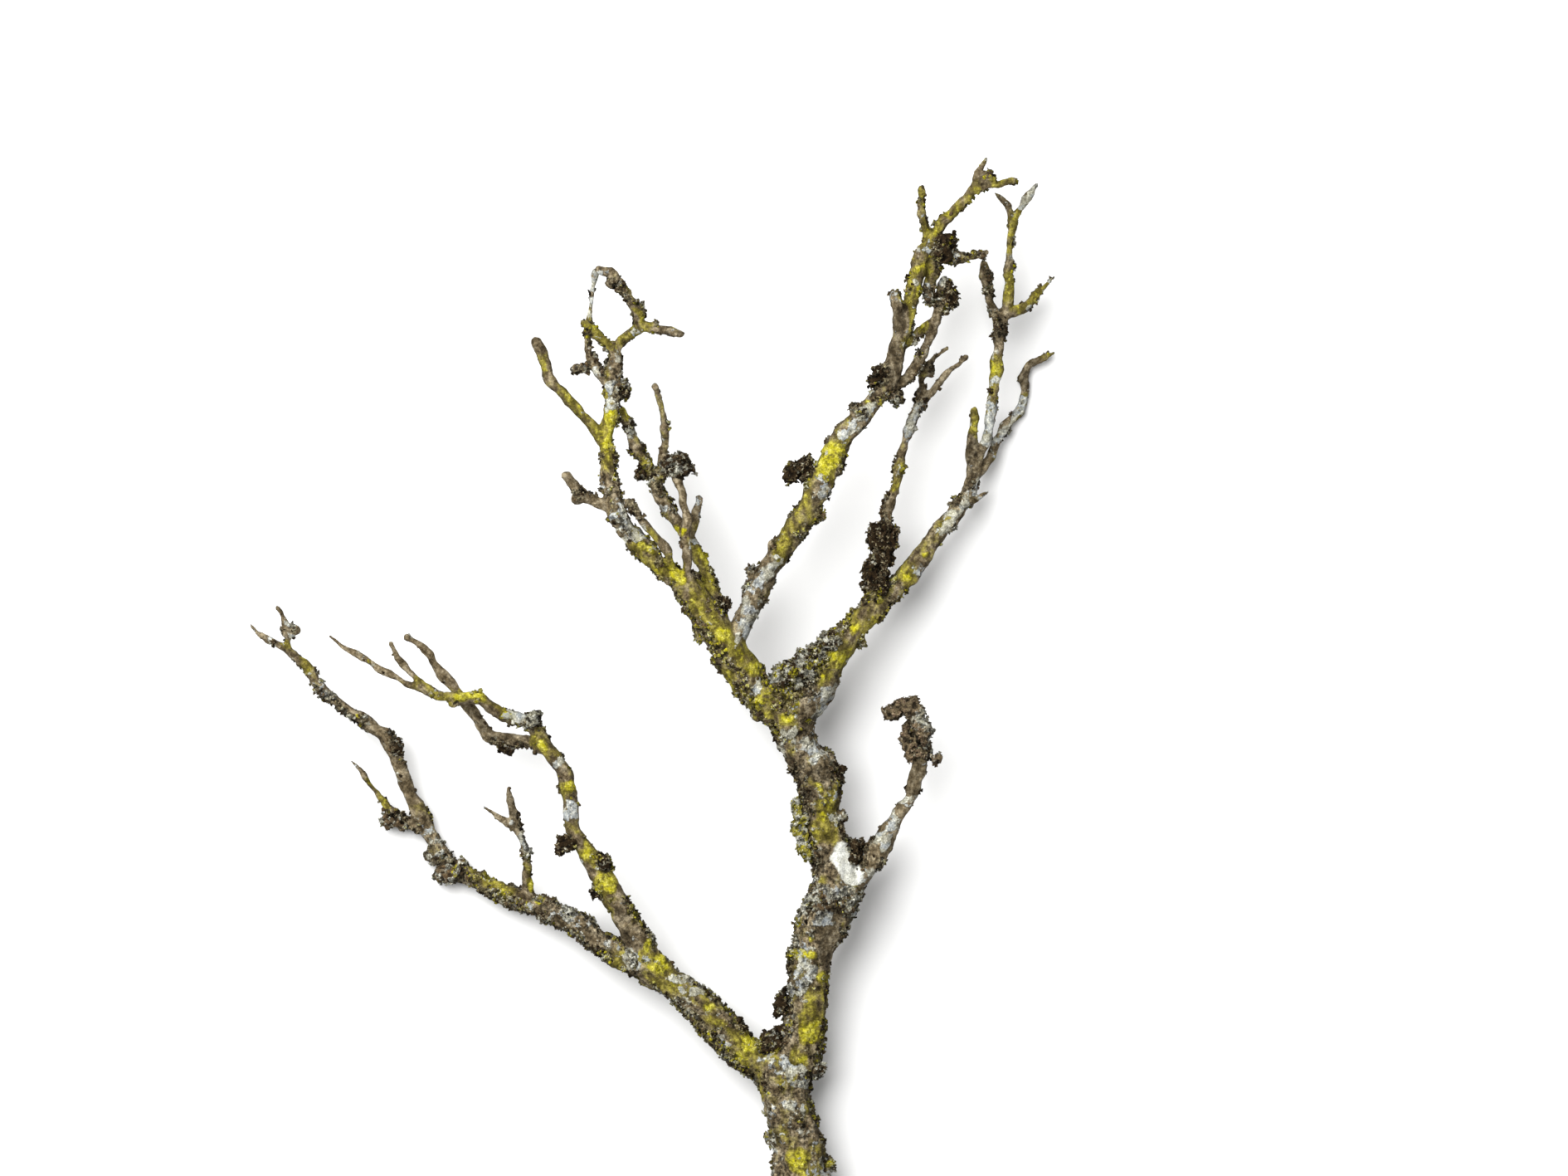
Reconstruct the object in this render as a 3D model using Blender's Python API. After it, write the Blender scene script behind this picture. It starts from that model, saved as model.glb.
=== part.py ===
"""A lichened twig, cut from its tree and lying on its back.

+X runs to the twig's right, +Y from the cut end towards the tips, and +Z up from the surface that the
twig lies on. Lengths are in millimetres, and MM turns them into metres as the meshes are made.
The wood is split at its main forks, and each large growth of lichen is a piece of its own.
"""

from functools import partial
from math import cos, pi, radians, sin, tau

import bmesh
import bpy
from mathutils import Matrix, Vector, noise

MM = 0.001

# How the pieces meet and how finely they are made
JOINT_GAP = 0.3        # left between two pieces that touch
RING_STEP = 12.0       # distance between two rings along a limb
BARK_ROUGHNESS = 0.22  # how far the bark swells and dips, as a share of the radius
BARK_SCALE = 0.21      # how quickly it does so, per millimetre
SMALL_LUMP = 8.5       # a lump smaller than this has the fewest facets
RUFFLE = 0.45          # how far a tuft's surface moves in and out, as a share of its radius
RUFFLE_SCALE = 1.9     # how quickly it does so, over a tuft of radius 1
SEED_STEP = 3.7        # how far apart two tufts' ruffles are taken from the same noise
SHARP_ANGLE = pi / 4   # a steeper edge than this shows

# A limb's sides: a limb thicker than the first radius of a pair has the sides of that pair
SIDES = [(6.0, 9), (3.5, 8), (2.2, 6), (0.0, 5)]

# A limb's end, as shares of its radius there: how far out its shoulder and its tip are, and how wide the
# shoulder is. An end thinner than BLUNT_END has no shoulder.
BLUNT_END = 1.4
SHOULDER_OUT = 0.5
SHOULDER_WIDTH = 0.7
TIP_OUT = 0.85

WOOD_ROUGHNESS = 0.8
LICHEN_ROUGHNESS = 0.95

# Colours: red, green, blue
BARK = (0.16, 0.13, 0.07)
GREY_BARK = (0.22, 0.19, 0.12)
YELLOW_BARK = (0.24, 0.21, 0.05)
DARK_LICHEN = (0.07, 0.055, 0.03)
GREY_LICHEN = (0.28, 0.27, 0.21)
YELLOW_LICHEN = (0.33, 0.29, 0.04)

# The wood. Each piece is one or more tubes, and each tube is a list of stations along its centre line:
# x, y, height above the surface, radius. A tube starts inside the piece it grows from.

TRUNK = [
    (44.5, -194.7, 8.7, 9.1), (45.8, -170, 10.0, 8.9), (46.8, -146, 11.3, 8.6), (46.5, -124, 12.4, 8.5),
    (46, -114, 12.8, 7.9), (42.5, -101, 13.4, 7.7), (40.5, -92.5, 14, 8.3), (41, -86.5, 14.3, 7.4),
]
MAIN_STEM = [
    (42, -91, 14.2, 6.8), (45.5, -87, 14.4, 6.8), (47.8, -79, 15, 6.4), (48.9, -68, 15.6, 6.1),
    (48.4, -61, 16, 6.2), (49.8, -54.5, 16.6, 6.5), (54.3, -42.5, 17.6, 7.7), (57.8, -34.5, 18.4, 7.4),
    (57.5, -26.5, 18.4, 6.5), (54.3, -19, 18, 5.9), (52.5, -10.5, 18.4, 5.7), (52.4, -1, 19.6, 6.3),
    (51, 4, 20.2, 6.3), (46.8, 8.5, 20.8, 5.5), (44.2, 15, 21.4, 6.1), (43.6, 20.5, 21.8, 6.8),
]
SIDE_SPUR = [
    (59, -35, 18.6, 4), (64.5, -31, 19.6, 3.4), (68.4, -26, 20.4, 3.3), (71.6, -20, 21, 3),
    (76.2, -13, 21.8, 2.1), (80.9, -4.7, 22.4, 1.8), (82.9, 2.6, 22.7, 2.3), (84, 9, 23, 2.4),
    (83, 16, 23, 2.1), (80.5, 22, 23, 1.5),
]

LEFT_LIMB = [
    (38.5, -92, 14, 6.2), (29.4, -86.3, 15.2, 5.6), (21.6, -78.5, 16.2, 5.3), (15.5, -71, 16.6, 4.9),
    (10, -67, 16.6, 4.4), (3.4, -63, 16.2, 4.7), (-2.5, -57.5, 15.8, 5.2),
]
LOW_BRANCH = [
    (-4.5, -57.6, 15.2, 4.2), (-11, -55, 14.2, 3.8), (-18, -50.4, 13, 3.3), (-22.5, -46.5, 12, 3.3),
    (-34.3, -41, 9.2, 3.2), (-45.5, -36.4, 6.6, 2.9), (-57, -31, 4, 2.6), (-62, -29, 2.9, 2.5),
    (-65.2, -26.3, 2.4, 2.4), (-67, -22, 2.5, 2.2), (-69.5, -17.5, 3, 2.3),
]
LOW_END = [
    (-68.8, -19, 2.9, 2.1), (-73.3, -12.5, 4, 2.6), (-76.4, -4.7, 5.8, 2.2), (-79.6, 4, 7.8, 2),
    (-84.6, 14.4, 9.8, 2), (-88.9, 16.9, 10.4, 1.6), (-103.2, 26.8, 12.6, 1.7), (-105.7, 30, 13, 1.6),
    (-109.2, 36, 13.8, 1.5), (-115, 41.4, 14.3, 1.2), (-121.4, 43.6, 13.6, 1), (-124.4, 46, 13, 0.8),
    (-126.5, 49, 12.4, 0.3),
]
LOW_END_FORK = [
    (-114.2, 41, 14.3, 1), (-114.6, 45.5, 15, 1.2), (-115.2, 49.4, 15.8, 0.9), (-118, 53.9, 16.8, 0.35),
]
LOW_SIDE = [
    (-68.8, -18, 2.9, 1.9), (-75.9, -14.8, 3.6, 1.5), (-81.9, -10.4, 4.6, 1.2), (-86.3, -4.4, 5.6, 1),
    (-91.3, 1.6, 6.6, 0.8), (-95.2, 5.3, 7, 0.35),
]
LOW_UPRIGHT = [
    (-39, -37.5, 8.6, 1.7), (-39.3, -30.5, 11.2, 1.4), (-39.6, -25, 13.4, 1.2), (-41.4, -18, 16.4, 1.2),
    (-43, -15, 17.6, 1.2), (-43.8, -9.6, 19.4, 1.1), (-45.6, -2.9, 21, 0.4),
]
LOW_UPRIGHT_FORK = [
    (-42.4, -16, 17.3, 1), (-46, -13.2, 18.2, 0.9), (-50, -10.4, 18.8, 0.8), (-53.2, -8.7, 19.2, 0.4),
]
HIGH_BRANCH = [
    (-2.6, -56, 16.4, 4.1), (-4.6, -50.8, 17.6, 3.9), (-10, -41, 19.6, 3.3), (-14.8, -31.7, 21, 3.4),
    (-18.6, -26, 21.8, 3.2), (-23, -19.8, 22.6, 2.5), (-25.2, -14.5, 23.2, 2.2), (-26, -5.7, 24.2, 2.2),
    (-27.4, 1.2, 25, 2.3), (-34.3, 12.7, 26.2, 2.3), (-38.3, 18.2, 26.6, 2.1), (-46.8, 20, 27.5, 1.9),
    (-54.4, 25.8, 28.4, 1.7), (-61, 25.5, 28.5, 1.7), (-66.3, 26.3, 28, 1.4), (-72.5, 29, 27.2, 1.5),
]
HIGH_END = [
    (-71, 28.4, 27.4, 1.3), (-77.7, 30.2, 26.8, 1), (-87.6, 36.1, 25.8, 1), (-95.4, 40.3, 25, 0.8),
    (-101.6, 44.9, 24.4, 0.35),
]
HIGH_END_FORK = [
    (-71.4, 29, 27.4, 1.1), (-74.2, 32.2, 28, 1), (-79.8, 38, 29, 0.8), (-82.4, 42.5, 29.6, 0.6),
]
HIGH_REAR = [
    (-33.8, 11.8, 25.6, 1.8), (-38.2, 12.2, 23.4, 1.8), (-48.6, 12.7, 20.8, 1.8), (-51.9, 14, 20, 2),
    (-56.4, 20.8, 19, 1.8), (-61.6, 27.6, 18.8, 1.6), (-66.6, 33, 19.2, 1.8), (-69.9, 39, 19.5, 1.3),
    (-72.5, 41.6, 19.5, 1), (-77.2, 44.7, 19.3, 0.8),
]

UPPER_LEFT_LIMB = [
    (42.4, 20, 22.2, 6.2), (37.2, 24.2, 23.4, 6.4), (31.5, 28.8, 24.9, 5.5), (24.2, 39.5, 27.8, 5.6),
    (19.3, 47.6, 30, 4.9), (13.3, 56.4, 32.2, 4.2), (9.4, 62, 33.4, 3.8),
]
TALL_BRANCH = [
    (10, 61.5, 33.4, 3.3), (2.1, 66.9, 34.8, 3.2), (-6.2, 75.4, 36.2, 3.1), (-11.2, 83.7, 36.8, 2.9),
    (-13.5, 91.8, 36.6, 2.8), (-14.6, 103.5, 35.4, 2.3), (-14.7, 107.6, 35, 2.5), (-12.9, 113, 34.8, 2.7),
    (-12.6, 121.7, 34.4, 2.5), (-12, 132.5, 34.4, 2.2), (-12, 135.2, 34.4, 2.1),
]
TALL_CROWN = [
    (-12.2, 133.6, 34.4, 1.8), (-9, 137.6, 34.9, 1.6), (-4.6, 141, 35.8, 1.9), (-4.2, 146.2, 36.8, 1.8),
    (-7.5, 151.1, 37.6, 1.6), (-11.5, 155.6, 38, 1.6), (-12.9, 158.4, 38.2, 1.8), (-17.4, 159.6, 38.4, 0.9),
]
TALL_CROWN_LEFT = [
    (-12, 132.6, 34.4, 1.6), (-16.1, 138.6, 35, 1.5), (-21.2, 142.8, 35.8, 1.5),
]
TALL_CROWN_RIGHT = [
    (-4.6, 141.6, 35.8, 1.5), (2.1, 141, 36.2, 1.4), (9.2, 139.5, 36.6, 1.2),
]
YELLOW_TWIG = [
    (-14.4, 103.6, 35.2, 1.9), (-17.6, 108.8, 36, 1.7), (-24.2, 116.8, 37, 1.5), (-30, 122.6, 37.8, 1.5),
    (-32.6, 125.8, 38, 1.7), (-33.2, 130, 38.5, 1.4), (-36.5, 137.4, 39, 1.3),
]
THIN_REAR_TWIG = [
    (-13.6, 123, 33.4, 1.7), (-16.9, 127.4, 31.6, 1.6), (-20, 134.7, 30.4, 1.2), (-20.4, 139.5, 30, 1.1),
    (-19.5, 147.7, 29.8, 0.8), (-17.8, 159, 30.4, 0.8),
]
THIN_REAR_KNOB = [
    (-18.2, 129.6, 31.2, 1.3), (-21.5, 128.8, 30.8, 1.5), (-24.7, 128.6, 30.6, 1.3),
]
SHORT_LEFT_TWIG = [
    (-12, 84.6, 36.8, 1.9), (-17.9, 86.3, 37.2, 1.6), (-23.1, 90.5, 37.8, 1.7), (-27.3, 95, 38.2, 1.3),
]
FRONT_TWIG = [
    (9.8, 62, 34, 1.7), (10.7, 67, 36.4, 1.5), (10.3, 73, 37.2, 1.4), (10.7, 81.4, 37.4, 1.4),
    (9.1, 90.5, 37.4, 1.4), (6.5, 97.5, 37.2, 1.3),
]
SLANTING_TWIG = [
    (6.6, 64.6, 34.4, 1.6), (5.2, 71, 37.6, 1.3), (-1, 78, 40.2, 1.3), (-4.8, 82.6, 41.6, 1.5),
    (-8.4, 87.5, 42.4, 1),
]
REAR_BRANCH = [
    (21.2, 49, 29.4, 2.9), (19.4, 56.2, 28.4, 2.6), (15.6, 67.1, 28, 2.2), (11.4, 75.4, 28.2, 2.1),
    (2.6, 87.9, 29.2, 2), (-1.6, 97.8, 29.6, 1.7), (-5.7, 104.8, 29.4, 1.5), (-8.3, 111.3, 29, 1.4),
    (-9.8, 115.4, 28.8, 0.9),
]
REAR_BRANCH_TWIG = [
    (0.8, 92, 29.4, 1.6), (2.9, 98.3, 29.4, 1.3), (3.6, 106.1, 30.2, 1.2), (3.4, 110, 30.8, 1.5),
    (3.2, 113.9, 31.4, 0.9), (1, 123.5, 32.6, 0.8),
]
REAR_BRANCH_STUB = [
    (11.4, 76.2, 28.4, 1.7), (13.4, 82, 29.2, 1.4), (14.6, 88.3, 29.8, 1.2),
]

MIDDLE_BRANCH = [
    (24, 41, 27.8, 3.4), (27.6, 47.6, 28.8, 3.1), (32.5, 58.8, 29.8, 3.4), (37.7, 68.1, 30, 3.3),
    (45, 78.8, 30, 3.5), (51, 90, 29.8, 3.9), (53, 94.4, 29.6, 4.3), (55.4, 100.1, 29.4, 3.8),
    (60.6, 108.7, 29, 2.9), (64, 112.6, 29, 3.1), (70.2, 119.1, 29, 2.6), (73.1, 123, 29, 3),
    (75.9, 131.6, 29.2, 2.9), (77.2, 138.4, 29.6, 2.4),
]
MIDDLE_CROWN = [
    (77, 136.6, 29.6, 2), (79.6, 142.6, 29.8, 2), (81.8, 152, 30, 2.2), (83.7, 162.8, 30, 2.4),
    (87.4, 168.8, 30, 2.3),
]
MIDDLE_CROWN_STUB = [
    (77, 138.6, 29.8, 1.9), (76.4, 146.5, 31, 2), (76, 151.6, 31.8, 2.1),
]
MIDDLE_CROWN_TWIG = [
    (86.4, 167.4, 30.4, 1.4), (85.3, 173.7, 31.2, 1.1), (84.2, 181, 31.8, 1.1), (84.2, 186.3, 32, 1),
]
MIDDLE_CROWN_REAR = [
    (88, 166.6, 29.4, 2), (88.2, 161, 28, 1.9), (86.8, 154.6, 26.8, 1.7), (86.8, 148.6, 26.2, 1.1),
]
MIDDLE_CROWN_SIDE = [
    (88, 167, 29.6, 1.8), (92.5, 164.2, 29.4, 1.8), (98, 163.5, 29.2, 2), (101.4, 164.2, 29, 1.3),
    (105.2, 164.9, 28.8, 0.6),
]
TOP_TWIG = [
    (87.6, 168.4, 30, 1.8), (91, 174.7, 30.2, 1.6), (96.5, 180.2, 30.4, 1.6), (101.2, 185.2, 30.6, 1.4),
    (102.4, 189, 30.8, 0.9), (104.3, 194.4, 31, 0.3),
]
TOP_TWIG_FORK = [
    (101, 184, 30.6, 1.1), (106.1, 185.5, 30.2, 1.1), (112.9, 187.3, 29.8, 0.9),
]
MIDDLE_SIDE_TWIG = [
    (74.6, 122.5, 28.6, 1.8), (80.1, 125.8, 26.4, 1.6), (83, 130, 25.2, 1.7), (85.8, 136.8, 24.6, 1.2),
    (88.7, 143.8, 24.4, 1.5), (90, 151.6, 24.6, 1.3), (91, 156.9, 25.2, 0.9),
]
MIDDLE_SIDE_FORK = [
    (88.4, 143.4, 24.6, 1.3), (82.7, 139.6, 26.6, 1.5), (78.8, 136, 28.4, 1.5),
]

RIGHT_LIMB = [
    (43, 19.6, 21.8, 6.4), (46.6, 24.5, 22, 7.2), (50.4, 30.4, 21.6, 6.9), (53.8, 36, 21, 5.8),
    (57.6, 40.7, 20.2, 4.8), (64.7, 49.1, 18.4, 3.7), (73.1, 57.2, 16.6, 3.4), (81.4, 66.3, 14.6, 3.3),
    (87.6, 74.4, 12.8, 2.6), (94.9, 83.7, 10.8, 2.5), (98.8, 90, 9.6, 2.3), (100.9, 97, 8.6, 2),
]
RIGHT_LIMB_THORN = [
    (97.6, 86, 10.4, 1.2), (103, 88.7, 10.8, 0.7), (105.4, 90.3, 11, 0.3),
]
RIGHT_LIMB_STUB = [
    (100.4, 95.4, 8.8, 1.7), (100.4, 103, 9.8, 1.7), (100.1, 108, 10.6, 1.5), (101.4, 116.3, 11.8, 1.3),
]
LICHENED_TWIG = [
    (68.2, 52, 17.6, 3.2), (69.5, 59, 18.4, 3), (70.4, 66.6, 18.6, 2.3), (73.1, 80.1, 18.6, 1.9),
    (76.7, 94.4, 18.6, 1.5), (77.7, 102.2, 18.4, 1.4), (82, 114, 18, 1.5), (85.3, 119.9, 17.6, 1.2),
    (93.6, 128.4, 16.6, 0.9), (98.3, 132.4, 16, 0.5),
]
LICHENED_TWIG_FORK = [
    (83.2, 116.4, 17.8, 1.1), (84.4, 122, 18.6, 1), (84.6, 127.6, 19.2, 1), (89.2, 132.9, 19.6, 0.9),
    (92.4, 135, 19.8, 0.4),
]
RIGHT_UPPER_TWIG = [
    (101, 96.6, 8.8, 1.7), (104.5, 106.1, 9.8, 1.7), (106.1, 113.9, 11, 1.6), (107, 124, 12.4, 1.8),
    (107.9, 130.8, 13.2, 2), (108.7, 135.4, 13.6, 1.7), (108.9, 142.5, 14.2, 2.2), (111, 147.2, 14.4, 1.8),
    (111.5, 155, 14.6, 1.3), (111.8, 164.6, 15, 1.1), (112.9, 175, 15.6, 1), (117.5, 182.3, 16.2, 0.8),
    (120.8, 186.5, 16.6, 0.35),
]
RIGHT_UPPER_TWIG_TIP = [
    (112.8, 174.4, 15.6, 0.9), (111.7, 179.6, 16, 0.75), (107.3, 184.2, 16.6, 0.3),
]
RIGHT_UPPER_TWIG_LEFT = [
    (109, 143.6, 14.4, 1.6), (105.5, 150, 15.4, 1.3), (104.5, 157.6, 16.6, 1.5), (104, 161.7, 17, 1.2),
]
RIGHT_UPPER_TWIG_SPIKE = [
    (110.4, 146, 14.2, 1.7), (117.3, 148, 13.4, 1.6), (120.9, 152.6, 12.8, 0.8), (125.4, 157.7, 12.2, 0.3),
]
RIGHT_LOW_TWIG = [
    (100.6, 94.6, 8.6, 1.8), (105.8, 100.1, 6.4, 1.6), (108.9, 107.4, 4.2, 1.4), (110.6, 111, 3.2, 1.5),
    (115.7, 115.8, 1.7, 1.6), (116.4, 121, 1.5, 1.3), (116.8, 127, 2, 1.2), (118.2, 130, 2.5, 1.2),
    (122, 131.8, 3.1, 0.9), (126.1, 134, 3.6, 0.4),
]

# Small lumps of lichen fused to the wood they grow on: x, y, height, radius
NUBS = {
    "trunk": [(37.8, -112.5, 14, 2.6), (55, -121, 13, 2.4), (38, -142, 12, 2.3)],
    "main_stem": [(62.6, -41.5, 17.8, 2), (59, -12, 18.6, 1.7), (40.4, 10.6, 20.8, 2)],
    "side_spur": [(69.4, -27.4, 20.2, 2)],
    "left_limb": [(24.2, -85.2, 15.8, 2.4)],
    "left_low_branch": [(-34.6, -43.4, 9, 2.2), (-69.2, -24.4, 2.8, 1.9)],
    "left_low_end_twig": [(-112.4, 47, 15, 1.8)],
    "left_high_branch": [(-62.4, 23.6, 28.3, 1.8)],
    "left_high_rear_twig": [(-35.6, 10, 24.4, 2.1)],
    "upper_left_limb": [(33, 20.6, 22.6, 2.4), (15, 45.4, 29.6, 1.9)],
    "tall_branch": [(10.4, 52.8, 32, 2), (-10.8, 107.4, 35, 1.8)],
    "tall_branch_crown": [(-13, 155, 37.8, 1.6), (-2.6, 149.4, 37, 1.7)],
    "short_left_twig": [(-23, 88, 37.4, 1.9)],
    "middle_branch": [
        (38, 73.4, 30, 2), (31.4, 64, 30, 2), (51.8, 83, 30, 2), (63, 116, 29, 2), (75.8, 119.6, 28.6, 2.5),
    ],
    "top_twig": [(105.6, 188, 30.4, 2.2)],
    "middle_side_twig": [(92, 149.6, 24.8, 2)],
    "right_limb": [(65.2, 43.6, 19, 1.9)],
    "lichened_twig": [(86.6, 127.6, 19, 2)],
}

# The wood, each piece cut to fit the ones before it: name, colour, its tubes
WOOD = [
    ("trunk", BARK, [TRUNK]),
    ("main_stem", BARK, [MAIN_STEM]),
    ("side_spur", GREY_BARK, [SIDE_SPUR]),
    ("left_limb", YELLOW_BARK, [LEFT_LIMB]),
    ("left_low_branch", BARK, [LOW_BRANCH]),
    ("left_low_end_twig", GREY_BARK, [LOW_END, LOW_END_FORK]),
    ("left_low_side_twig", GREY_BARK, [LOW_SIDE]),
    ("left_low_upright_twig", GREY_BARK, [LOW_UPRIGHT, LOW_UPRIGHT_FORK]),
    ("left_high_branch", YELLOW_BARK, [HIGH_BRANCH]),
    ("left_high_end_twig", GREY_BARK, [HIGH_END, HIGH_END_FORK]),
    ("left_high_rear_twig", GREY_BARK, [HIGH_REAR]),
    ("upper_left_limb", YELLOW_BARK, [UPPER_LEFT_LIMB]),
    ("tall_branch", BARK, [TALL_BRANCH, TALL_CROWN_LEFT]),
    ("tall_branch_crown", YELLOW_BARK, [TALL_CROWN, TALL_CROWN_RIGHT]),
    ("yellow_twig", YELLOW_LICHEN, [YELLOW_TWIG]),
    ("thin_rear_twig", GREY_BARK, [THIN_REAR_TWIG, THIN_REAR_KNOB]),
    ("short_left_twig", GREY_BARK, [SHORT_LEFT_TWIG]),
    ("front_twig", BARK, [FRONT_TWIG]),
    ("slanting_twig", BARK, [SLANTING_TWIG]),
    ("rear_branch", YELLOW_BARK, [REAR_BRANCH, REAR_BRANCH_TWIG, REAR_BRANCH_STUB]),
    ("middle_branch", BARK, [MIDDLE_BRANCH]),
    ("middle_branch_crown", YELLOW_BARK, [
        MIDDLE_CROWN, MIDDLE_CROWN_STUB, MIDDLE_CROWN_TWIG, MIDDLE_CROWN_REAR, MIDDLE_CROWN_SIDE,
    ]),
    ("top_twig", GREY_BARK, [TOP_TWIG, TOP_TWIG_FORK]),
    ("middle_side_twig", GREY_BARK, [MIDDLE_SIDE_TWIG, MIDDLE_SIDE_FORK]),
    ("right_limb", BARK, [RIGHT_LIMB, RIGHT_LIMB_THORN, RIGHT_LIMB_STUB]),
    ("lichened_twig", BARK, [LICHENED_TWIG, LICHENED_TWIG_FORK]),
    ("right_upper_twig", YELLOW_BARK, [
        RIGHT_UPPER_TWIG, RIGHT_UPPER_TWIG_TIP, RIGHT_UPPER_TWIG_LEFT, RIGHT_UPPER_TWIG_SPIKE,
    ]),
    ("right_low_twig", YELLOW_BARK, [RIGHT_LOW_TWIG]),
]

# The growths of lichen: name, colour, its lumps. A lump has a centre, a size along its own axes and a
# turn about Z in degrees.
LICHEN = [
    ("spur_head_lichen", DARK_LICHEN, [
        ((82.9, 13.4, 23), (11, 16.5, 11), 6), ((78.4, 22.6, 23.4), (11.5, 7.5, 8), 22),
        ((88.6, 6.4, 23.4), (7.4, 6, 5.5), 20),
    ]),
    ("spur_crotch_lichen", DARK_LICHEN, [((63.6, -24, 20.5), (9, 14, 8), -30)]),
    ("collar_lichen", GREY_LICHEN, [((55.4, -38.6, 23.2), (18.5, 10, 6), 6)]),
    ("stem_left_lichen", YELLOW_LICHEN, [((47.2, -15, 19), (7, 23, 8), 10)]),
    ("stem_right_lichen", DARK_LICHEN, [((57.4, 1.6, 20.5), (5, 8.5, 7), 10)]),
    ("lower_fork_lichen", DARK_LICHEN, [((38.6, -83.6, 16.4), (11, 11, 9), 20)]),
    ("stem_stalk_lichen", DARK_LICHEN, [((41.2, -70, 17.6), (6.5, 11, 6), -10)]),
    ("stem_low_lichen", DARK_LICHEN, [((43.8, -57.4, 17), (6, 12, 7), 5)]),
    ("trunk_right_lichen", GREY_LICHEN, [((50, -90, 15.4), (5.5, 12, 7), 0)]),
    ("upper_fork_lichen", DARK_LICHEN, [
        ((46, 31.6, 25.2), (16, 13, 10), 40), ((50.4, 37, 24.6), (12, 9, 8.5), 45),
        ((55.2, 42.6, 22.6), (11, 7.5, 7.5), 45),
    ]),
    ("left_limb_lichen", DARK_LICHEN, [((26.8, -76.8, 18), (6, 8, 6), 40)]),
    ("low_branch_lichen", GREY_LICHEN, [((-62.8, -28.8, 4.9), (9, 7.4, 8), 20)]),
    ("low_branch_upper_lichen", GREY_LICHEN, [((-26, -40.8, 13.6), (5, 6.4, 5.6), 0)]),
    ("low_end_lichen", DARK_LICHEN, [((-80.2, 10.8, 10), (6, 8, 6), 30)]),
    ("low_side_lichen", GREY_LICHEN, [((-82.4, -13.6, 4.9), (9, 8.6, 8), 30)]),
    ("high_branch_left_lichen", DARK_LICHEN, [((-28, -20, 23), (8, 7.6, 6.5), 0)]),
    ("high_branch_right_lichen", DARK_LICHEN, [((-15.4, -26, 23), (5.6, 8.4, 6.5), 40)]),
    ("high_branch_low_lichen", DARK_LICHEN, [((-17.8, -36, 20.6), (6, 6, 5.5), 0)]),
    ("high_knee_lichen", DARK_LICHEN, [((-37, 18, 28.2), (7, 6.5, 5), 30)]),
    ("high_rear_lichen", DARK_LICHEN, [((-46.6, 11, 20.8), (10, 5.6, 5), 5)]),
    ("front_twig_lichen", DARK_LICHEN, [((7.8, 98.6, 37.2), (13, 8, 8), -12)]),
    ("rear_branch_lichen", DARK_LICHEN, [((-3, 96, 30), (7.6, 7.4, 6.4), 20)]),
    ("rear_crotch_lichen", DARK_LICHEN, [((22.2, 54.6, 30.6), (7, 6, 6), 60)]),
    ("tall_branch_lichen", DARK_LICHEN, [((-9.4, 121, 35.4), (4.6, 8.6, 5.5), 0)]),
    ("middle_branch_left_lichen", DARK_LICHEN, [((46.6, 97.2, 30), (11, 8.4, 8), 10)]),
    ("middle_branch_upper_lichen", DARK_LICHEN, [((71.8, 125.4, 29.6), (5.4, 11, 6), -15)]),
    ("middle_crown_lichen", DARK_LICHEN, [
        ((92, 168.2, 31.2), (8, 7.6, 6), 30), ((90.4, 164.4, 31.2), (7.4, 7, 5), 0),
    ]),
    ("middle_rear_lichen", GREY_LICHEN, [((87.2, 151.6, 27.6), (6, 8, 5), 0)]),
    ("middle_side_lichen", DARK_LICHEN, [((92.8, 151.4, 25.6), (5.5, 13.5, 6), -5)]),
    ("lichened_twig_lichen", DARK_LICHEN, [
        ((70.4, 64, 19.6), (10.4, 15, 8.5), -5), ((72.2, 75.4, 19.4), (12, 15.5, 8), 10),
    ]),
]


def clear_scene():
    for thing in list(bpy.data.objects):
        bpy.data.objects.remove(thing, do_unlink=True)


def curve_value(before, start, end, after, t):
    """A Catmull-Rom curve from start to end, at t from 0 to 1."""
    line = (end - before) * t
    bend = (2 * before - 5 * start + 4 * end - after) * t ** 2
    twist = (3 * start - before - 3 * end + after) * t ** 3
    return start + (line + bend + twist) / 2


def smooth_stations(stations):
    """Stations about every RING_STEP along a smooth curve through the given ones."""
    last = len(stations) - 1
    smooth = []
    for i in range(last):
        around = [stations[max(i - 1, 0)], stations[i], stations[i + 1], stations[min(i + 2, last)]]
        length = (Vector(around[2][:3]) - Vector(around[1][:3])).length
        steps = max(1, round(length / RING_STEP))
        for step in range(steps):
            smooth.append([curve_value(*values, step / steps) for values in zip(*around)])
    smooth.append(list(stations[-1]))
    return smooth


def side_count(stations):
    """Thick limbs are rounder than twigs."""
    thickest = max(station[3] for station in stations)
    return next(sides for radius, sides in SIDES if thickest > radius)


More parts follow.
